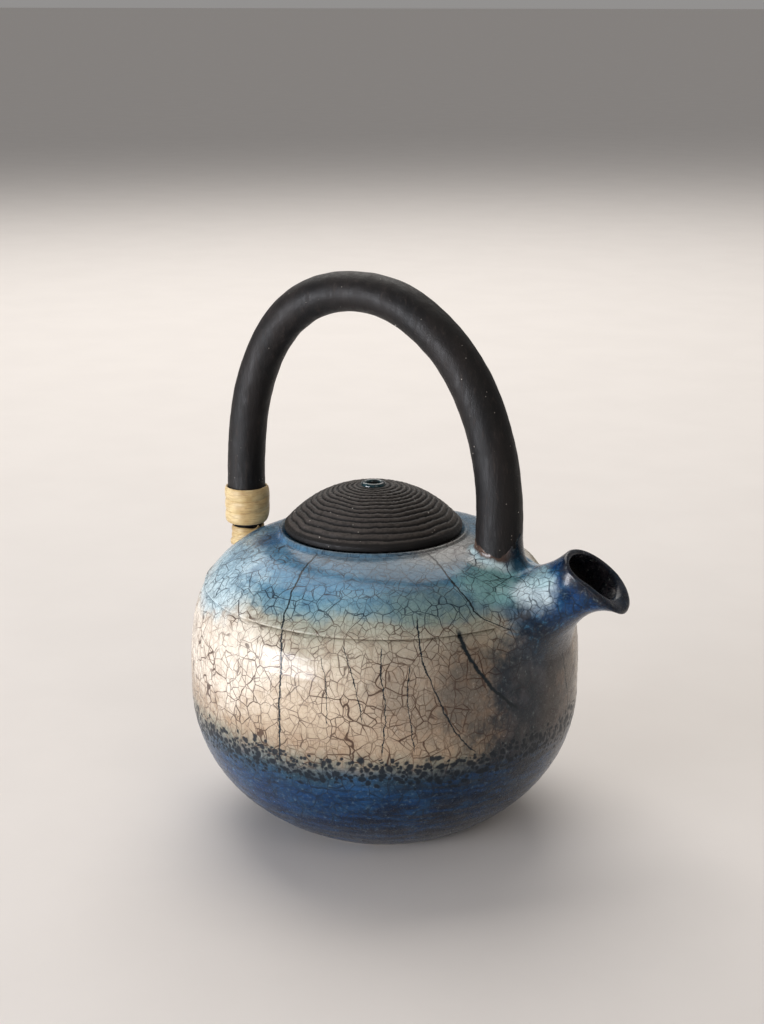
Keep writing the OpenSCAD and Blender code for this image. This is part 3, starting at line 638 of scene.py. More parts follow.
bowlLow, bowlHigh = boxMm("pot_bowl")
shoulderHigh = boxMm("pot_shoulder")[1]
lidLow, lidHigh = boxMm("lid_dome")
pot = {
    "bellyR": (bowlHigh[0] - bowlLow[0]) / 2, "bellyZ": 53.5, "domeH": 61.5, "domePower": 3.4,
    "footR": 36.0, "footRimW": 7.0, "footHollow": 3.0, "floorTop": 7.5, "wall": 5.0, "innerPower": 2.8,
    "seamZ": bowlHigh[2], "seatZ": shoulderHigh[2], "seatR": 36.4, "seatRingH": 0.62,
    "mouthX": (lidLow[0] + lidHigh[0]) / 2, "sides": 320,
    "handWobble": 0.28, "throwLines": 0.045, "throwPitch": 4.3,
    # Where the shoulder was pressed in between the handle's foot and the spout
    "pressAt": (45.3, 40.8, 104.0), "pressDepth": 5.9, "pressReach": 21.0,
    "pressLean": 0.629, "pressTurn": 0.733, "pressDrop": 0.777,
}
bellyR, bellyZ, domeH, domePower = (pot[k] for k in ("bellyR", "bellyZ", "domeH", "domePower"))
underH = bellyZ / math.sqrt(1 - (pot["footR"] / bellyR) ** 2)


def outerR(z):
    below = bellyR * np.sqrt(np.maximum(0, 1 - ((bellyZ - z) / underH) ** 2))
    above = bellyR * np.maximum(0, 1 - (np.maximum(z - bellyZ, 0) / domeH) ** domePower) ** (1 / domePower)
    return np.where(z < bellyZ, below, above)


def domeZ(r, radius=bellyR, rise=domeH):
    return bellyZ + rise * np.maximum(0, 1 - np.minimum(r / radius, 1) ** domePower) ** (1 / domePower)


# Unevenness left by the hands, and the place pressed in beside the handle
def handMade(rings, strength=1.0):
    normals = gridNormals(rings)
    push = pot["handWobble"] * noiseAt(rings, 38) + 0.35 * pot["handWobble"] * noiseAt(rings, 13, 5.0)
    turn = np.arctan2(rings[..., 1], rings[..., 0])
    push = push + pot["throwLines"] * np.sin(rings[..., 2] * 2 * np.pi / pot["throwPitch"] + turn)
    away = np.linalg.norm(rings - np.array(pot["pressAt"]), axis=-1)
    fromSeat = np.hypot(rings[..., 0] - pot["mouthX"], rings[..., 1]) - pot["seatR"]
    depth = pot["pressDepth"] * np.exp(-(away / pot["pressReach"]) ** 3) * smooth(fromSeat, 1, 11)
    aside, around = pot["pressLean"], pot["pressTurn"]
    inwards = -np.array([aside * math.cos(around), aside * math.sin(around), pot["pressDrop"]])
    return rings + normals * (push * strength)[..., None] + inwards * depth[..., None]


innerR = bellyR - pot["wall"]
innerRise = domeH - pot["wall"]
seamZ = pot["seamZ"]
seamR = float(outerR(seamZ))
innerSeamR = innerR * (1 - ((seamZ - bellyZ) / innerRise) ** domePower) ** (1 / domePower)


def bowlProfile():
    foot, rim, hollow = pot["footR"], pot["footRimW"], pot["footHollow"]
    inside = foot - rim
    underside = [(1.5, hollow), (10, hollow), (19, hollow), (inside - 1.4, hollow), (inside - 0.4,
        hollow - 0.3),
        (inside + 0.3, hollow - 1.2), (inside + 0.9, 0.7), (inside + 1.5, 0.15), (inside + 2.3, 0),
            (foot - 2.4, 0),
        (foot - 1.0, 0.05), (foot - 0.2, 0.35), (foot + 0.5, 0.95)]
    start = math.asin((bellyZ - 1.7) / underH)
    lower = [(bellyR * math.cos(t), bellyZ - underH * math.sin(t)) for t in np.linspace(start, 0, 52)]
    upper = [(float(outerR(z)), z) for z in np.linspace(bellyZ, seamZ - 1.5, 32)[1:]]
    groove = [(float(outerR(seamZ - 0.75)) - 0.05, seamZ - 0.75), (seamR - 0.1, seamZ - 0.45),
        (seamR - 0.45, seamZ - 0.2), (seamR - 1.2, seamZ - 0.12), (innerSeamR + 0.4, seamZ - 0.12)]
    wallIn = [(innerR * (1 - ((z - bellyZ) / innerRise) ** domePower) ** (1 / domePower), z)
        for z in np.linspace(seamZ - 0.6, bellyZ, 22)]
    power = 2 / pot["innerPower"]
    floor = [(innerR * math.cos(t) ** power, bellyZ - (bellyZ - pot["floorTop"]) * math.sin(t) ** power)
        for t in np.linspace(0, math.pi / 2, 34)[1:-1]]
    floor.append((1.5, pot["floorTop"]))
    outside = underside + lower + upper + groove
    return outside + wallIn + floor, len(underside), len(outside)


profile, footRings, outsideRings = bowlProfile()
bowlRings = handMade(turned(profile, pot["sides"]))
bowlRings[:footRings] = turned(profile[:footRings], pot["sides"])
bowl = ringMesh("pot_bowl_thrown", bowlRings, False,
    lambda i: 1 if i < footRings - 1 else (0 if i < outsideRings - 1 else 2))



def shoulderRings():
    angle = np.linspace(0, 2 * np.pi, pot["sides"], endpoint=False)
    around = np.stack([np.cos(angle), np.sin(angle)], 1)
    centre = np.array([pot["mouthX"], 0.0])
    seatZ, seatR = pot["seatZ"], pot["seatR"]

    def level(plan, z):
        return np.column_stack([plan, np.broadcast_to(z, len(plan))])

    rings = [level(around * (innerSeamR + 0.4), seamZ), level(around * (seamR - 1.2), seamZ),
        level(around * (seamR - 0.5), seamZ + 0.04), level(around * (seamR - 0.02), seamZ + 0.22),
        level(around * (seamR + 0.18), seamZ + 0.55), level(around * (seamR + 0.14), seamZ + 1.0)]
    start, finishPlan = around * seamR, centre + around * (seatR + 0.9)
    for s in 1 - (1 - np.linspace(0, 1, 40)[1:]) ** 1.15:
        plan = start + (finishPlan - start) * s
        r = np.hypot(*plan.T)
        bead = 0.1 * math.exp(-((s * 22) / 1.6) ** 2)
        rings.append(level(plan * (1 + bead / r)[:, None], np.maximum(domeZ(r), seamZ + 1.1)))
    foot = rings[-1][:, 2]
    for out, part, rise in ((0.25, 0.35, -0.25), (0.0, 0.75, -0.08), (-0.4, 1.0, 0.0), (-0.9, 1.0, 0.04),
            (-1.4, 1.0, -0.12), (-1.75, 1.0, -0.38)):
        z = foot + (seatZ + pot["seatRingH"] - foot) * part + rise
        rings.append(level(centre + around * (seatR + out), z))
    for r, z in ((34.4, seatZ), (31, seatZ), (28.2, seatZ), (27.4, seatZ - 0.25), (27.0, seatZ - 0.9),
            (27.0, seatZ - 3.0)):
        rings.append(level(centre + around * r, z))
    inStart, inEnd = centre + around * 27.2, around * innerSeamR
    for s in np.linspace(0, 1, 26)[:-1] ** 0.9:
        plan = inStart + (inEnd - inStart) * s
        rings.append(level(plan, domeZ(np.hypot(*plan.T), innerR, innerRise)))
    rings.append(level(around * innerSeamR, seamZ + 0.6))
    return np.array(rings)


rawShoulder = shoulderRings()
outsideCount = 6 + 39 + 6
shoulder = ringMesh("pot_shoulder_thrown", handMade(rawShoulder), True,
    lambda i: 0 if i < outsideCount + 4 else 2)

bodyTree = BVHTree.FromPolygons(
    [v.co * 1000 for thing in (bowl, shoulder) for v in thing.data.vertices],
    [[i + base for i in face.vertices] for thing, base in ((bowl, 0), (shoulder, len(bowl.data.vertices)))
        for face in thing.data.polygons])
print("pot made")

spoutShape = {
    "topX": bellyR + 0.5, "topRise": 1.7, "lipReach": 23.0, "lipFall": 19.2, "mouthW": 12.4,
        "rootDeg": 35.0,
    "taper": 2.05, "swing": 4.2, "wall": 2.4, "lipExtra": 4.2, "lipHang": 1.5, "blunt": 2.4, "sides": 128,
    "fillet": 10.0, "tuck": 0.25, "alongSteps": 54,
}
domeTop = bellyZ + domeH
upperEdge = np.array([[0.59 * bellyR, domeTop - 11], [bellyR - 19, domeTop - 7.5], [bellyR - 10.5,
    domeTop - 8],
    [spoutShape["topX"], domeTop + spoutShape["topRise"]]])
lowerEdge = np.array([[0.9 * bellyR, seamZ - 30], [bellyR, seamZ - 8], [bellyR + 8, seamZ + 5],
    [spoutShape["topX"] + spoutShape["lipReach"], domeTop + spoutShape["topRise"] - spoutShape["lipFall"]]])
spoutRootW = bellyR * math.sin(math.radians(spoutShape["rootDeg"]))


def cubic(p, t):
    return (1 - t) ** 3 * p[0] + 3 * (1 - t) ** 2 * t * p[1] + 3 * (1 - t) * t * t * p[2] + t ** 3 * p[3]


# A point of the spout's skin, at t from its root to its mouth and at an angle round it
def spoutPoint(t, a, off=0.0, lip=0.0):
    top, low = cubic(upperEdge, t), cubic(lowerEdge, t)
    down = (low - top) / np.linalg.norm(low - top)
    out = np.array([-down[1], down[0]])
    half = np.linalg.norm(low - top) / 2 - off - lip * t ** 5 / 2
    mid = (top + low) / 2 - down * lip * t ** 5 / 2
    w = spoutShape["mouthW"] + (spoutRootW - spoutShape["mouthW"]) * (1 - t) ** spoutShape["taper"] - off
    hang = spoutShape["lipHang"] * t ** 6 * max(0.0, math.sin(a)) ** 4
    blunt = spoutShape["blunt"] * t ** 3 * max(0.0, -math.sin(a))
    p = mid + down * half * math.sin(a) - out * hang
    return np.array([p[0], spoutShape["swing"] * t - blunt + (w + blunt) * math.cos(a), p[1]])


def nearBody(p):
    spot, normal, _, _ = bodyTree.find_nearest(Vector(p))
    return np.array(spot), np.array(normal)


def outsideBody(p):
    spot, normal = nearBody(p)
    return float(np.dot(p - spot, normal)) > 0


def bodyCrossing(a):
    low, high = 0.0, 1.0
    for t in np.linspace(1, 0, 46):
        if not outsideBody(spoutPoint(t, a)):
            low, high = t, min(1.0, t + 1 / 45)
            break
    for _ in range(12):
        middle = (low + high) / 2
        low, high = (low, middle) if outsideBody(spoutPoint(middle, a)) else (middle, high)
    return high


def spoutRings():
    angles = np.linspace(0, 2 * np.pi, spoutShape["sides"], endpoint=False)
    columns, marks = [], []
    starts = np.array([bodyCrossing(a) for a in angles])
    for _ in range(3):
        starts = (np.roll(starts, 1) + 2 * starts + np.roll(starts, -1)) / 4
    for a, start in zip(angles, starts):
        corner = spoutPoint(start, a)
        ahead = spoutPoint(min(1, start + 0.01), a) - corner
        speed = np.linalg.norm(ahead) / 0.01
        reach = spoutShape["fillet"] * (1 - 0.35 * abs(math.sin(a)))
        end = min(start + reach / speed, 0.93)
        spot, normal = nearBody(corner)
        back = -(ahead - normal * np.dot(ahead, normal))
        back /= np.linalg.norm(back)
        root, rootNormal = nearBody(corner + back * reach * 0.95)
        root = root - rootNormal * spoutShape["tuck"]
        finishAt = spoutPoint(end, a)
        column = [root - rootNormal * 1.6, root]
        flow = [0.0, 0.0]
        for s in np.linspace(0, 1, 15)[1:]:
            column.append((1 - s) ** 2 * root + 2 * s * (1 - s) * corner + s * s * finishAt)
            flow.append(end * s * 0.9)
        for t in np.linspace(end, 1, spoutShape["alongSteps"])[1:]:
            column.append(spoutPoint(t, a))
            flow.append(t if t > end else end)
        rimOut, rimIn = spoutPoint(1, a), spoutPoint(1, a, spoutShape["wall"], spoutShape["lipExtra"])
        middle, half = (rimOut + rimIn) / 2, (rimOut - rimIn) / 2
        facing = rimOut - spoutPoint(0.97, a)
        facing = facing - half * np.dot(facing, half) / max(np.dot(half, half), 1e-9)
        facing /= np.linalg.norm(facing)
        bulge = min(np.linalg.norm(half) * 0.8, 1.5)
        for turn in np.linspace(0, math.pi, 9)[1:-1]:
            column.append(middle + half * math.cos(turn) + facing * bulge * math.sin(turn))
            flow.append(1.0)
        inner = list(np.linspace(1, max(0.02, start - 0.12), 30))
        for t in inner:
            column.append(spoutPoint(t, a, spoutShape["wall"], spoutShape["lipExtra"]))
            flow.append(1.0)
        columns.append(column)
        marks.append(flow)
    rings = np.array(columns).transpose(1, 0, 2)
    count = len(columns[0])
    within = np.zeros((count, len(angles)))
    within[-29:] = 1.0
    return rings, np.array(marks).T, within


spoutGrid, toLip, within = spoutRings()
wobbled = spoutGrid + gridNormals(spoutGrid) * (0.25 * noiseAt(spoutGrid, 16, 3.0))[..., None]
wobbled[:4] = spoutGrid[:4]
spout = ringMesh("spout_pulled", wobbled, True, None, {"toLip": toLip, "within": within})
spout = finish(spout, "pot", "crackle_glaze", [glaze], "spout")
groundTree = BVHTree.FromPolygons(
    [v.co * 1000 for thing in (bowl, shoulder, spout) for v in thing.data.vertices],
    [[i + base for i in face.vertices] for thing, base in ((bowl, 0), (shoulder, len(bowl.data.vertices)),
        (spout, len(bowl.data.vertices) + len(shoulder.data.vertices))) for face in thing.data.polygons])
print("spout made")

caneLow, caneHigh = boxMm("cane_upper_lashing")
handleHigh = boxMm("handle")[1]
handleShape = {
    "gripR": 7.5, "footR": 8.7, "rearX": (caneLow[0] + caneHigh[0]) / 2, "frontX": 48.5,
    "topX": -10.6, "topZ": handleHigh[2] - 7.5, "legZ": domeTop + 8.5, 
    "sides": 80, "unevenness": 0.4, "tooth": 0.13, "footDepth": 5.0,
}
rearX, frontX, legZ = handleShape["rearX"], handleShape["frontX"], handleShape["legZ"]
topX, topZ = handleShape["topX"], handleShape["topZ"]
postTop = caneLow[2] + 4.6
arch = [np.array(p, float) for p in (
    [[rearX, legZ], [rearX - 0.5, legZ + 45], [topX - 38.5, topZ], [topX, topZ]],
    [[topX, topZ], [topX + 33.7, topZ], [frontX + 2, legZ + 43], [frontX, legZ]])]


def handleSpine():
    spine = [np.array([rearX, z]) for z in np.linspace(postTop + 0.05, legZ, 9)[:-1]]
    curve = [cubic(arch[k], t) for k in (0, 1) for t in np.linspace(0, 1, 130)[(1 if k else 0):]]
    spine += curve
    spine += [np.array([frontX, z]) for z in np.linspace(legZ, domeTop - handleShape["footDepth"], 16)[1:]]
    share = np.clip((np.arange(len(spine)) - 8) / (len(curve) - 1), 0, 1)
    return np.array(spine), share


spine, share = handleSpine()
heading = np.gradient(spine, axis=0)
heading /= np.linalg.norm(heading, axis=1, keepdims=True)
roundAngle = np.linspace(0, 2 * np.pi, handleShape["sides"], endpoint=False)
thick = handleShape["gripR"] + (handleShape["footR"] - handleShape["gripR"]) * share ** 3
handleRings = np.stack([
    spine[:, :1] - heading[:, 1:] * thick[:, None] * np.cos(roundAngle),
    thick[:, None] * np.sin(roundAngle),
    spine[:, 1:] + heading[:, :1] * thick[:, None] * np.cos(roundAngle)], 2)
uneven = handleShape["unevenness"] * noiseAt(handleRings, 24) + handleShape["tooth"] * noiseAt(handleRings,
    4, 2.0)
lashed = smooth(handleRings[..., 2], postTop, caneHigh[2] + 6)
lashed = np.where(handleRings[..., 0] < topX, lashed, 1)
handleRings = handleRings + gridNormals(handleRings) * (uneven * lashed)[..., None]
handle = ringMesh("handle_pulled", handleRings, False)
handle = finish(handle, "pot", "smoked_clay", [handleClay], "handle")

# Glaze and clay smeared up the front foot
collarShape = {"flare": 5.2, "rise": 5.0, "spoutRise": 9.0, "sides": 160, "steps": 14}


def groundZ(x, y):
    hit = groundTree.ray_cast(Vector((x, y, 140)), Vector((0, 0, -1)))[0]
    return hit.z if hit is not None else domeTop - 6


def collarRings():
    footR = handleShape["footR"]
    columns = []
    for a in np.linspace(0, 2 * np.pi, collarShape["sides"], endpoint=False):
        ragged = noise.noise(Vector((math.cos(a) * 2.3, math.sin(a) * 2.3, 7.0)))
        drip = noise.noise(Vector((math.cos(a) * 6, math.sin(a) * 6, 1.0)))
        flare = collarShape["flare"] * (1 + 0.35 * ragged)
        rise = collarShape["rise"] + 1.3 * ragged + 0.4 * drip
        rise += collarShape["spoutRise"] * max(0, math.cos(a - 0.25)) ** 2
        direction = np.array([math.cos(a), math.sin(a)])
        column = []
        for g in np.linspace(0, math.pi / 2, collarShape["steps"]):
            r = footR + 0.15 + flare * (1 - math.sin(g)) ** 1.2
            x, y = np.array([frontX, 0]) + direction * r
            z = groundZ(x, y) + rise * (1 - math.cos(g)) ** 1.15
            column.append([x, y, z - (0.3 if g == 0 else 0)])
        x, y = np.array([frontX, 0]) + direction * (footR - 0.9)
        column.append([x, y, column[-1][2] + 0.4])
        x, y = np.array([frontX, 0]) + direction * (footR - 1.6)
        ground = groundZ(x, y)
        column.append([x, y, ground + 0.4])
        column.append([x, y, ground - 1.2])
        x, y = np.array([frontX, 0]) + direction * (footR + flare - 0.6)
        column.append([x, y, groundZ(x, y) - 1.2])
        columns.append(column)
    return np.array(columns).transpose(1, 0, 2)


collarGrid = collarRings()
climb = np.zeros(collarGrid.shape[:2])
climb[:collarShape["steps"] + 1] = np.linspace(-0.1, 1.05, collarShape["steps"] + 1)[:, None]
collar = ringMesh("handle_collar_smeared", collarGrid, True, None, {"climb": climb})
collar = finish(collar, "pot", "crackle_glaze", [glaze], "handle_collar")

postShape = {"neckR": 5.2, "headR": 7.5}
neckTop = caneLow[2]
post = ringMesh("rear_post_turned", turned([(0.8, seamZ - 4), (postShape["neckR"], seamZ - 4),
    (postShape["neckR"], neckTop - 1.2), (postShape["neckR"] + 0.5, neckTop - 0.5),
        (postShape["headR"] - 0.5, neckTop),
    (postShape["headR"], neckTop + 0.5), (postShape["headR"], postTop - 0.1), (0.8,
        postTop - 0.1)], 72, rearX), False)
post = finish(post, "pot", "smoked_clay", [handleClay], "rear_post")
print("handle made")

# A path becomes a flat strip of cane, domed outside
def caneTree():
    tree = bpy.data.node_groups.new("Cane along a path", "GeometryNodeTree")
    for name, kind, default in (("Width", "NodeSocketFloat", 0.004), ("Thickness", "NodeSocketFloat",
        0.0012)):
        socket = tree.interface.new_socket(name, in_out="INPUT", socket_type=kind)
        socket.default_value = default
    tree.interface.new_socket("Path", in_out="INPUT", socket_type="NodeSocketGeometry")
    tree.interface.move(tree.interface.items_tree["Path"], 0)
    tree.interface.new_socket("Cane", in_out="OUTPUT", socket_type="NodeSocketGeometry")
    tree.interface.new_socket("Material", in_out="INPUT", socket_type="NodeSocketMaterial")
    source = add(tree, "NodeGroupInput").outputs
    curve = add(tree, "GeometryNodeMeshToCurve", {"Mesh": source["Path"]}).outputs[0]
    curve = add(tree, "GeometryNodeSetCurveNormal", {"Curve": curve}, mode="Z_UP").outputs[0]
    profile = add(tree, "GeometryNodeCurvePrimitiveCircle", {"Resolution": 20, "Radius": 0.5}).outputs[0]
    size = add(tree, "ShaderNodeCombineXYZ", {0: source["Thickness"], 1: source["Width"],
        2: 1.0}).outputs[0]
    profile = add(tree, "GeometryNodeTransform", {"Geometry": profile, "Scale": size}).outputs[0]
    strip = add(tree, "GeometryNodeCurveToMesh", {"Curve": curve, "Profile Curve": profile,
        "Fill Caps": True}).outputs[0]
    strip = add(tree, "GeometryNodeSetShadeSmooth", {"Geometry": strip}).outputs[0]
    strip = add(tree, "GeometryNodeRealizeInstances", {"Geometry": strip}).outputs[0]
    strip = add(tree, "GeometryNodeSetMaterial", {"Geometry": strip,
        "Material": source["Material"]}).outputs[0]
    add(tree, "NodeGroupOutput", {"Cane": strip})
    return tree


# Runs a node tree on a mesh and returns the plain mesh that comes out
def grown(name, tree, mesh, values):
    carrier = bpy.data.objects.new(name, mesh)
    bpy.context.scene.collection.objects.link(carrier)
    modifier = carrier.modifiers.new("grow", "NODES")
    modifier.node_group = tree
    for item in tree.interface.items_tree:
        if item.in_out == "INPUT" and item.name in values:
            modifier[item.identifier] = values[item.name]
    bpy.context.view_layer.update()
    depsgraph = bpy.context.evaluated_depsgraph_get()
    plain = bpy.data.meshes.new_from_object(carrier.evaluated_get(depsgraph), depsgraph=depsgraph)
    carrier.modifiers.remove(modifier)
    old = carrier.data
    carrier.data = plain
    bpy.data.meshes.remove(old)
    plain.name = name
    return carrier


def pathMesh(name, points):
    mesh = bpy.data.meshes.new(name)
    mesh.from_pydata([tuple(p / 1000) for p in points], [(i, i + 1) for i in range(len(points) - 1)], [])
    return mesh


caneShape = {
    "turns": 3, "width": 5.0, "thickness": 1.5, "pitch": (caneHigh[2] - caneLow[2]) / 3,
    "lowWidth": 3.1, "lowThickness": 1.3, "lowPitch": 2.75, "lowTurns": 3,
    "strandWidth": 2.6, "strandThickness": 1.1, "strandR": 6.35, "strandTuck": 0.5, "strandSteps": 60,
    "strandBottom": 8.2, "strandTop": 0.6,
}


# Level turns that step up to the next one on the side turned to the lid
def wound(turns, pitch, radius, bottom, crossAt, crossSpan, tuck=0.8):
    points = []
    steps = int(turns * 90)
    for i in range(steps + 1):
        angle = 2 * np.pi * i / 90
        whole = math.floor(angle / (2 * np.pi) + 1e-9)
        local = angle - whole * 2 * np.pi
        climb = smooth(local, 2 * np.pi - crossSpan, 2 * np.pi)
        ends = smooth(i, 0, 7) * smooth(steps - i, 0, 7)
        r = radius - tuck * (1 - ends) + 0.14 * noise.noise(Vector((angle * 1.3, pitch, 4.0)))
        over = 0.35 * math.sin(math.pi * min(1.0, max(0.0, (local - 2 * np.pi + crossSpan) / crossSpan)))
        z = bottom + pitch * (whole + climb) + 0.12 * noise.noise(Vector((angle * 1.1, 9.0, pitch)))
        a = angle + crossAt
        points.append(np.array([rearX + (r + over) * math.cos(a), (r + over) * math.sin(a), z]))
    return np.array(points)


caneNodes = caneTree()
upperPath = wound(caneShape["turns"] - 0.02, caneShape["pitch"], 8.0,
    caneLow[2] + caneShape["pitch"] / 2 - 0.1,
    math.radians(55), math.radians(70))
upperPath[:, 2] = np.minimum(upperPath[:, 2], caneHigh[2] - caneShape["width"] / 2 + 0.4)
upperCane = grown("cane_upper_winding", caneNodes, pathMesh("upper path", upperPath),
    {"Width": caneShape["width"] / 1000, "Thickness": caneShape["thickness"] / 1000, "Material": cane})
upperCane = finish(upperCane, "pot", "cane", [cane], "cane_upper_lashing")

lowHigh = boxMm("cane_lower_lashing")[1][2]
lowPath = wound(caneShape["lowTurns"] - 0.02, caneShape["lowPitch"], 5.75,
    lowHigh - caneShape["lowPitch"] * caneShape["lowTurns"] + 1.2, math.radians(70), math.radians(80))
lowPath[:, 2] -= 0.9 * smooth(np.degrees(np.arctan2(lowPath[:, 1], lowPath[:, 0] - rearX)), -80, 10)
lowCane = grown("cane_lower_winding", caneNodes, pathMesh("lower path", lowPath),
    {"Width": caneShape["lowWidth"] / 1000, "Thickness": caneShape["lowThickness"] / 1000,
        "Material": cane})
lowCane = finish(lowCane, "pot", "cane", [cane], "cane_lower_lashing")
steps = caneShape["strandSteps"]
crossAngles = np.radians(np.linspace(-175, -5, steps))
crossR = caneShape["strandR"] - caneShape["strandTuck"] * smooth(np.abs(np.linspace(-1, 1, steps)), 0.8, 1)
crossZ = np.linspace(lowHigh - caneShape["strandBottom"], lowHigh - caneShape["strandTop"], steps)
crossPath = np.column_stack([rearX + crossR * np.cos(crossAngles), crossR * np.sin(crossAngles), crossZ])
crossCane = grown("cane_crossing_strand", caneNodes, pathMesh("crossing path", crossPath),
    {"Width": caneShape["strandWidth"] / 1000, "Thickness": caneShape["strandThickness"] / 1000,
        "Material": cane})
crossCane = finish(crossCane, "pot", "cane", [cane])
print("cane wound")

lidShape = {
    "rimR": (lidHigh[0] - lidLow[0]) / 2, "rise": 17.3, "rimT": 2.2, "wall": 4.0, "hollowR": 22.6,
        "ventR": 2.6,
    "ringR": 4.8, "ribs": 15, "ribDepth": 0.85, "fullness": 0.55, "sides": 320, "perRib": 9,
}
ringHigh = boxMm("vent_ring")[1][2]
lidTop = lidLow[2] + lidShape["rise"]
rimR, mouthX = lidShape["rimR"], pot["mouthX"]
capR = (rimR ** 2 + (lidShape["rise"] - lidShape["rimT"]) ** 2) / (2 * (lidShape["rise"] - lidShape["rimT"]))


def capZ(r, down=0.0):
    return lidTop + np.sqrt((capR - down) ** 2 - r * r) - capR


def lidRings():
    angle = np.linspace(0, 2 * np.pi, lidShape["sides"], endpoint=False)
    start, pitch = lidShape["ringR"], (rimR - lidShape["ringR"]) / lidShape["ribs"]
    radii = np.concatenate([[lidShape["ventR"], 3.6], np.linspace(start, rimR - 0.35,
        lidShape["ribs"] * lidShape["perRib"])])
    r = radii[:, None] + 0 * angle
    flat = np.stack([r * np.cos(angle), r * np.sin(angle), 0 * r], 2)
    drift = 0.16 * pitch * noiseAt(flat, 9) * 2
    phase = (r - start + drift) / pitch - angle / (2 * np.pi)
    crest = np.abs(np.sin(np.pi * phase)) ** 0.6
    torn = 0.5 + 0.7 * noiseAt(flat, 2.2, 8.0)
    fade = smooth(r, start - 0.2, start + 2) * smooth(rimR - r, 0.3, 1.6)
    depth = lidShape["ribDepth"] * (0.65 + 0.6 * torn)
    full = lidShape["fullness"] * np.sin(np.pi * np.clip((r - start) / (rimR - start), 0, 1))
    z = capZ(r) + full - depth * (1 - crest) * fade - 0.2 * fade * noiseAt(flat, 1.1, 3.0)
    top = np.stack([mouthX + flat[..., 0], flat[..., 1], z], 2)
    low = lidLow[2]
    edge = float(capZ(rimR - 0.35))
    rim = turned([(rimR - 0.08, edge - 0.25), (rimR, edge - 0.8), (rimR - 0.02, low + 0.8), (rimR - 0.25,
        low + 0.25),
        (rimR - 0.8, low), (lidShape["hollowR"] + 3.2, low), (lidShape["hollowR"],
            low)], lidShape["sides"], mouthX)
    hollow = [(rr, float(capZ(rr, lidShape["wall"]))) for rr in np.linspace(lidShape["hollowR"],
        lidShape["ventR"], 12)]
    under = turned(hollow, lidShape["sides"], mouthX)
    rings = np.concatenate([top, rim, under])
    marks = np.full(rings.shape[:2], 0.4)
    marks[:len(radii)] = crest * fade + 0.4 * (1 - fade)
    return rings, marks


lidGrid, crest = lidRings()
lid = ringMesh("lid_dome_ribbed", lidGrid, True, None, {"crest": crest})
lid = finish(lid, "lid", "smoked_clay", [lidClay], "lid_dome")

ringBase = float(capZ(lidShape["ringR"])) - 0.5
ringMid, ringHalf = (lidShape["ringR"] + lidShape["ventR"]) / 2, (lidShape["ringR"] - lidShape["ventR"]) / 2
ventProfile = [(ringMid + ringHalf * math.cos(a),
    ringBase + 0.35 + (ringHigh - ringBase - 0.35) * max(math.sin(a), 0) ** 0.8)
    for a in np.linspace(0, math.pi, 15)]
ventProfile += [(lidShape["ventR"], ringBase - 1.4), (lidShape["ventR"] + 0.6, ringBase - 1.4),
    (lidShape["ringR"] - 0.3, ringBase - 0.2)]
vent = ringMesh("vent_ring_glazed", turned(ventProfile, 96, mouthX), True)
vent = finish(vent, "lid", "vent_glaze", [teal], "vent_ring")
print("lid made")


def gritTree():
    tree = bpy.data.node_groups.new("Grit on a skin", "GeometryNodeTree")
    tree.interface.new_socket("Skin", in_out="INPUT", socket_type="NodeSocketGeometry")
    for name, default in (("Density", 500.0), ("Smallest", 0.00012), ("Largest", 0.00035)):
        tree.interface.new_socket(name, in_out="INPUT",
            socket_type="NodeSocketFloat").default_value = default
    tree.interface.new_socket("Seed", in_out="INPUT", socket_type="NodeSocketInt").default_value = 3
    tree.interface.new_socket("Material", in_out="INPUT", socket_type="NodeSocketMaterial")
    tree.interface.new_socket("Grit", in_out="OUTPUT", socket_type="NodeSocketGeometry")
    source = add(tree, "NodeGroupInput").outputs
    spots = add(tree, "GeometryNodeDistributePointsOnFaces", {"Mesh": source["Skin"],
        "Density": source["Density"],
        "Seed": source["Seed"]}).outputs[0]
    grainOf = add(tree, "GeometryNodeMeshIcoSphere", {"Radius": 1.0, "Subdivisions": 2}).outputs[0]
    size = add(tree, "FunctionNodeRandomValue", {2: source["Smallest"], 3: source["Largest"],
        "Seed": source["Seed"]},
        data_type="FLOAT").outputs[1]
    grains = add(tree, "GeometryNodeInstanceOnPoints", {"Points": spots, "Instance": grainOf,
        "Scale": size}).outputs[0]
    grains = add(tree, "GeometryNodeRealizeInstances", {"Geometry": grains}).outputs[0]
    grains = add(tree, "GeometryNodeSetMaterial", {"Geometry": grains,
        "Material": source["Material"]}).outputs[0]
    add(tree, "NodeGroupOutput", {"Grit": grains})
    return tree


# Quartz grit, bared where the clay was rubbed: pale grey grains
def gritMaterial():
    material, tree, place = newMaterial("Quartz grit")
    tone = add(tree, "ShaderNodeTexNoise", {"Vector": place, "Scale": 1 / 3, "Detail": 2,
        "Roughness": 0.55}).outputs[0]
    colour = add(tree, "ShaderNodeMix", {0: add(tree, "ShaderNodeMapRange", {"Value": tone,
        "From Min": 0.35, "From Max": 0.65}, interpolation_type="SMOOTHSTEP").outputs[0], 6: "#6f6a64",
        7: "#b3ada4"}, data_type="RGBA").outputs[2]
    shader = add(tree, "ShaderNodeBsdfPrincipled", {"Base Color": colour, "Roughness": add(tree,
        "ShaderNodeMapRange", {"Value": tone, "From Min": 0.3, "From Max": 0.7, "To Min": 0.4,
        "To Max": 0.6}, interpolation_type="SMOOTHSTEP").outputs[0]})
    add(tree, "ShaderNodeOutputMaterial", {"Surface": shader.outputs[0]})
    return material


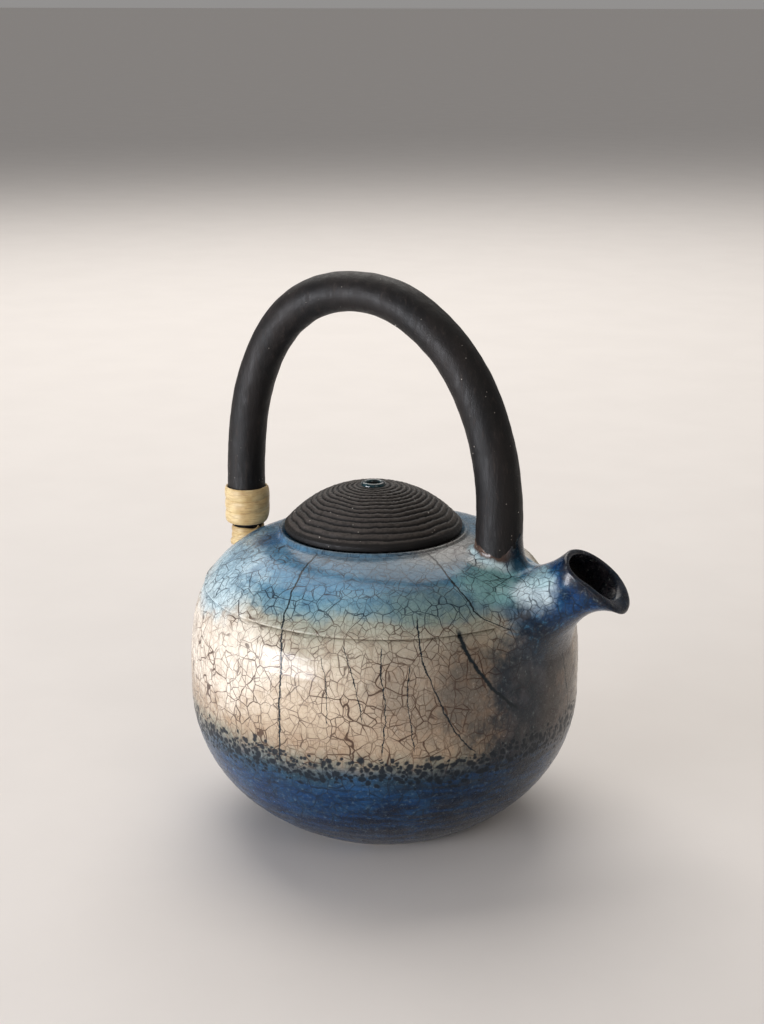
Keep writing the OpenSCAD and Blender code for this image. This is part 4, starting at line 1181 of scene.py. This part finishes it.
grit = gritMaterial()
gritNodes = gritTree()
for name, source, body, density in (("handle_grit", handle, "pot", 5000.0), ("lid_grit", lid, "lid",
    9000.0)):
    speck = grown(name, gritNodes, source.data.copy(), {"Density": density, "Material": grit,
        "Smallest": 0.00010, "Largest": 0.00026})
    finish(speck, body, "smoked_clay", [grit])
print("grit laid")

throat = {"r": 11.5, "tilt": 30.0, "z": seamZ - 1.0}
throatX = innerR * (1 - ((throat["z"] - bellyZ) / innerRise) ** domePower) ** (1 / domePower)
lean = math.radians(90 - throat["tilt"])
outward = np.array([math.sin(lean), 0, math.cos(lean)])
across = np.array([math.cos(lean), 0, -math.sin(lean)])
strainerR = throat["r"] + 3.0
drill = []
for along, r in ((-15, strainerR), (0, strainerR), (0, throat["r"]), (20, throat["r"])):
    centre = np.array([throatX, 0, throat["z"]]) + outward * along
    drill.append([centre + r * (across * math.cos(a) + np.array([0, 1, 0]) * math.sin(a))
        for a in np.linspace(0, 2 * np.pi, 64, endpoint=False)])
cutter = ringMesh("throat cutter", np.array(drill), False)
cutter.data.materials.append(liner)
for thing in (bowl, shoulder):
    for material in (glaze, bare, liner):
        thing.data.materials.append(material)
    cut = thing.modifiers.new("throat", "BOOLEAN")
    cut.operation, cut.object, cut.solver = "DIFFERENCE", cutter, "MANIFOLD"
    bpy.context.view_layer.update()
    depsgraph = bpy.context.evaluated_depsgraph_get()
    pierced = bpy.data.meshes.new_from_object(thing.evaluated_get(depsgraph), depsgraph=depsgraph)
    thing.modifiers.remove(cut)
    thing.data = pierced
    print(thing.name, "has", len(pierced.polygons), "faces")
bpy.data.objects.remove(cutter)
finish(bowl, "pot", "crackle_glaze", [glaze, bare, liner], "pot_bowl")
finish(shoulder, "pot", "crackle_glaze", [glaze, bare, liner], "pot_shoulder")
for node, material in (("strainer", bare), ("lid_flange", lidClay)):
    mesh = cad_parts[node].data
    mesh.materials.clear()
    mesh.materials.append(material)

# Metres from here on. A lamp has its place, what it faces, its two sizes, its watts and its colour.
studio = {
    "floor": "#e2dedb", "floorCloud": "#e8e4e1", "floorHalf": 80, "world": "#edeae8", "worldStrength": 0.34,
    "camera": (0.3241, -0.5635, 0.308), "lens": 62.4, "pitch": 73.97, "turn": 30.0,
    "glint": (0.0015, -0.0734, 0.0818), "glintNormal": (0.0205, -0.981, 0.195), "windowAway": 1.1,
    "window": ((0, 0, 0.08), 0.8, 0.42, 27, "#f6f8ff"),
    "sky": ((-0.7, 0.9, 1.5), (0, 0.3, 0.0), 1.8, 1.8, 29, "#fffaf4"),
    "fill": ((0.9, -0.6, 0.8), (0, 0, 0.07), 0.5, 0.5, 1.5, "#fff2e4"),
}
# Pale plaster floor, matt with a faint cloud in it
floorMaterial, tree, place = newMaterial("Pale plaster")
cloud = add(tree, "ShaderNodeTexNoise", {"Vector": place, "Scale": 1 / 60, "Detail": 5,
    "Roughness": 0.55}).outputs[0]
shader = add(tree, "ShaderNodeBsdfPrincipled", {"Base Color": add(tree, "ShaderNodeMix", {0: add(tree,
    "ShaderNodeMapRange", {"Value": cloud, "From Min": 0.3, "From Max": 0.7, "To Min": 0.3, "To Max": 0.7},
    interpolation_type="SMOOTHSTEP").outputs[0], 6: studio["floor"], 7: studio["floorCloud"]},
    data_type="RGBA").outputs[2], "Roughness": 0.9})
add(tree, "ShaderNodeOutputMaterial", {"Surface": shader.outputs[0]})
floorMesh = bpy.data.meshes.new("floor")
half = studio["floorHalf"]
corners = [(-half, -half, 0), (half, -half, 0), (half, half, 0), (-half, half, 0)]
floorMesh.from_pydata(corners, [], [(0, 1, 2, 3)])
floorMesh.materials.append(floorMaterial)
floor = bpy.data.objects.new("floor", floorMesh)
bpy.context.scene.collection.objects.link(floor)

world = bpy.data.worlds.new("studio")
world.use_nodes = True
world.node_tree.nodes["Background"].inputs["Color"].default_value = hexColour(studio["world"])
world.node_tree.nodes["Background"].inputs["Strength"].default_value = studio["worldStrength"]
bpy.context.scene.world = world


def softLight(name, place, target, sizeX, sizeY, power, colour):
    data = bpy.data.lights.new(name, "AREA")
    data.shape, data.size, data.size_y, data.energy = "RECTANGLE", sizeX, sizeY, power
    data.color = hexColour(colour)[:3]
    lamp = bpy.data.objects.new(name, data)
    lamp.location = place
    lamp.rotation_euler = (Vector(target) - Vector(place)).to_track_quat("-Z", "Y").to_euler()
    bpy.context.scene.collection.objects.link(lamp)


# The window stands where its mirror image falls on the left of the belly
cameraAt = Vector(studio["camera"])
glint = Vector(studio["glint"])
normal = Vector(studio["glintNormal"]).normalized()
toCamera = (cameraAt - glint).normalized()
mirror = (2 * normal.dot(toCamera) * normal - toCamera).normalized()
softLight("window", glint + mirror * studio["windowAway"], *studio["window"])
softLight("sky", *studio["sky"])
softLight("fill", *studio["fill"])

cameraData = bpy.data.cameras.new("camera")
cameraData.sensor_width, cameraData.lens = 36, studio["lens"]
cameraData.sensor_fit = "AUTO"
camera = bpy.data.objects.new("camera", cameraData)
camera.location = cameraAt
camera.rotation_euler = (math.radians(studio["pitch"]), 0, math.radians(studio["turn"]))
bpy.context.scene.collection.objects.link(camera)
bpy.context.scene.camera = camera
bpy.context.scene.view_settings.view_transform = "Standard"
print("stage set")

bpy.context.view_layer.update()
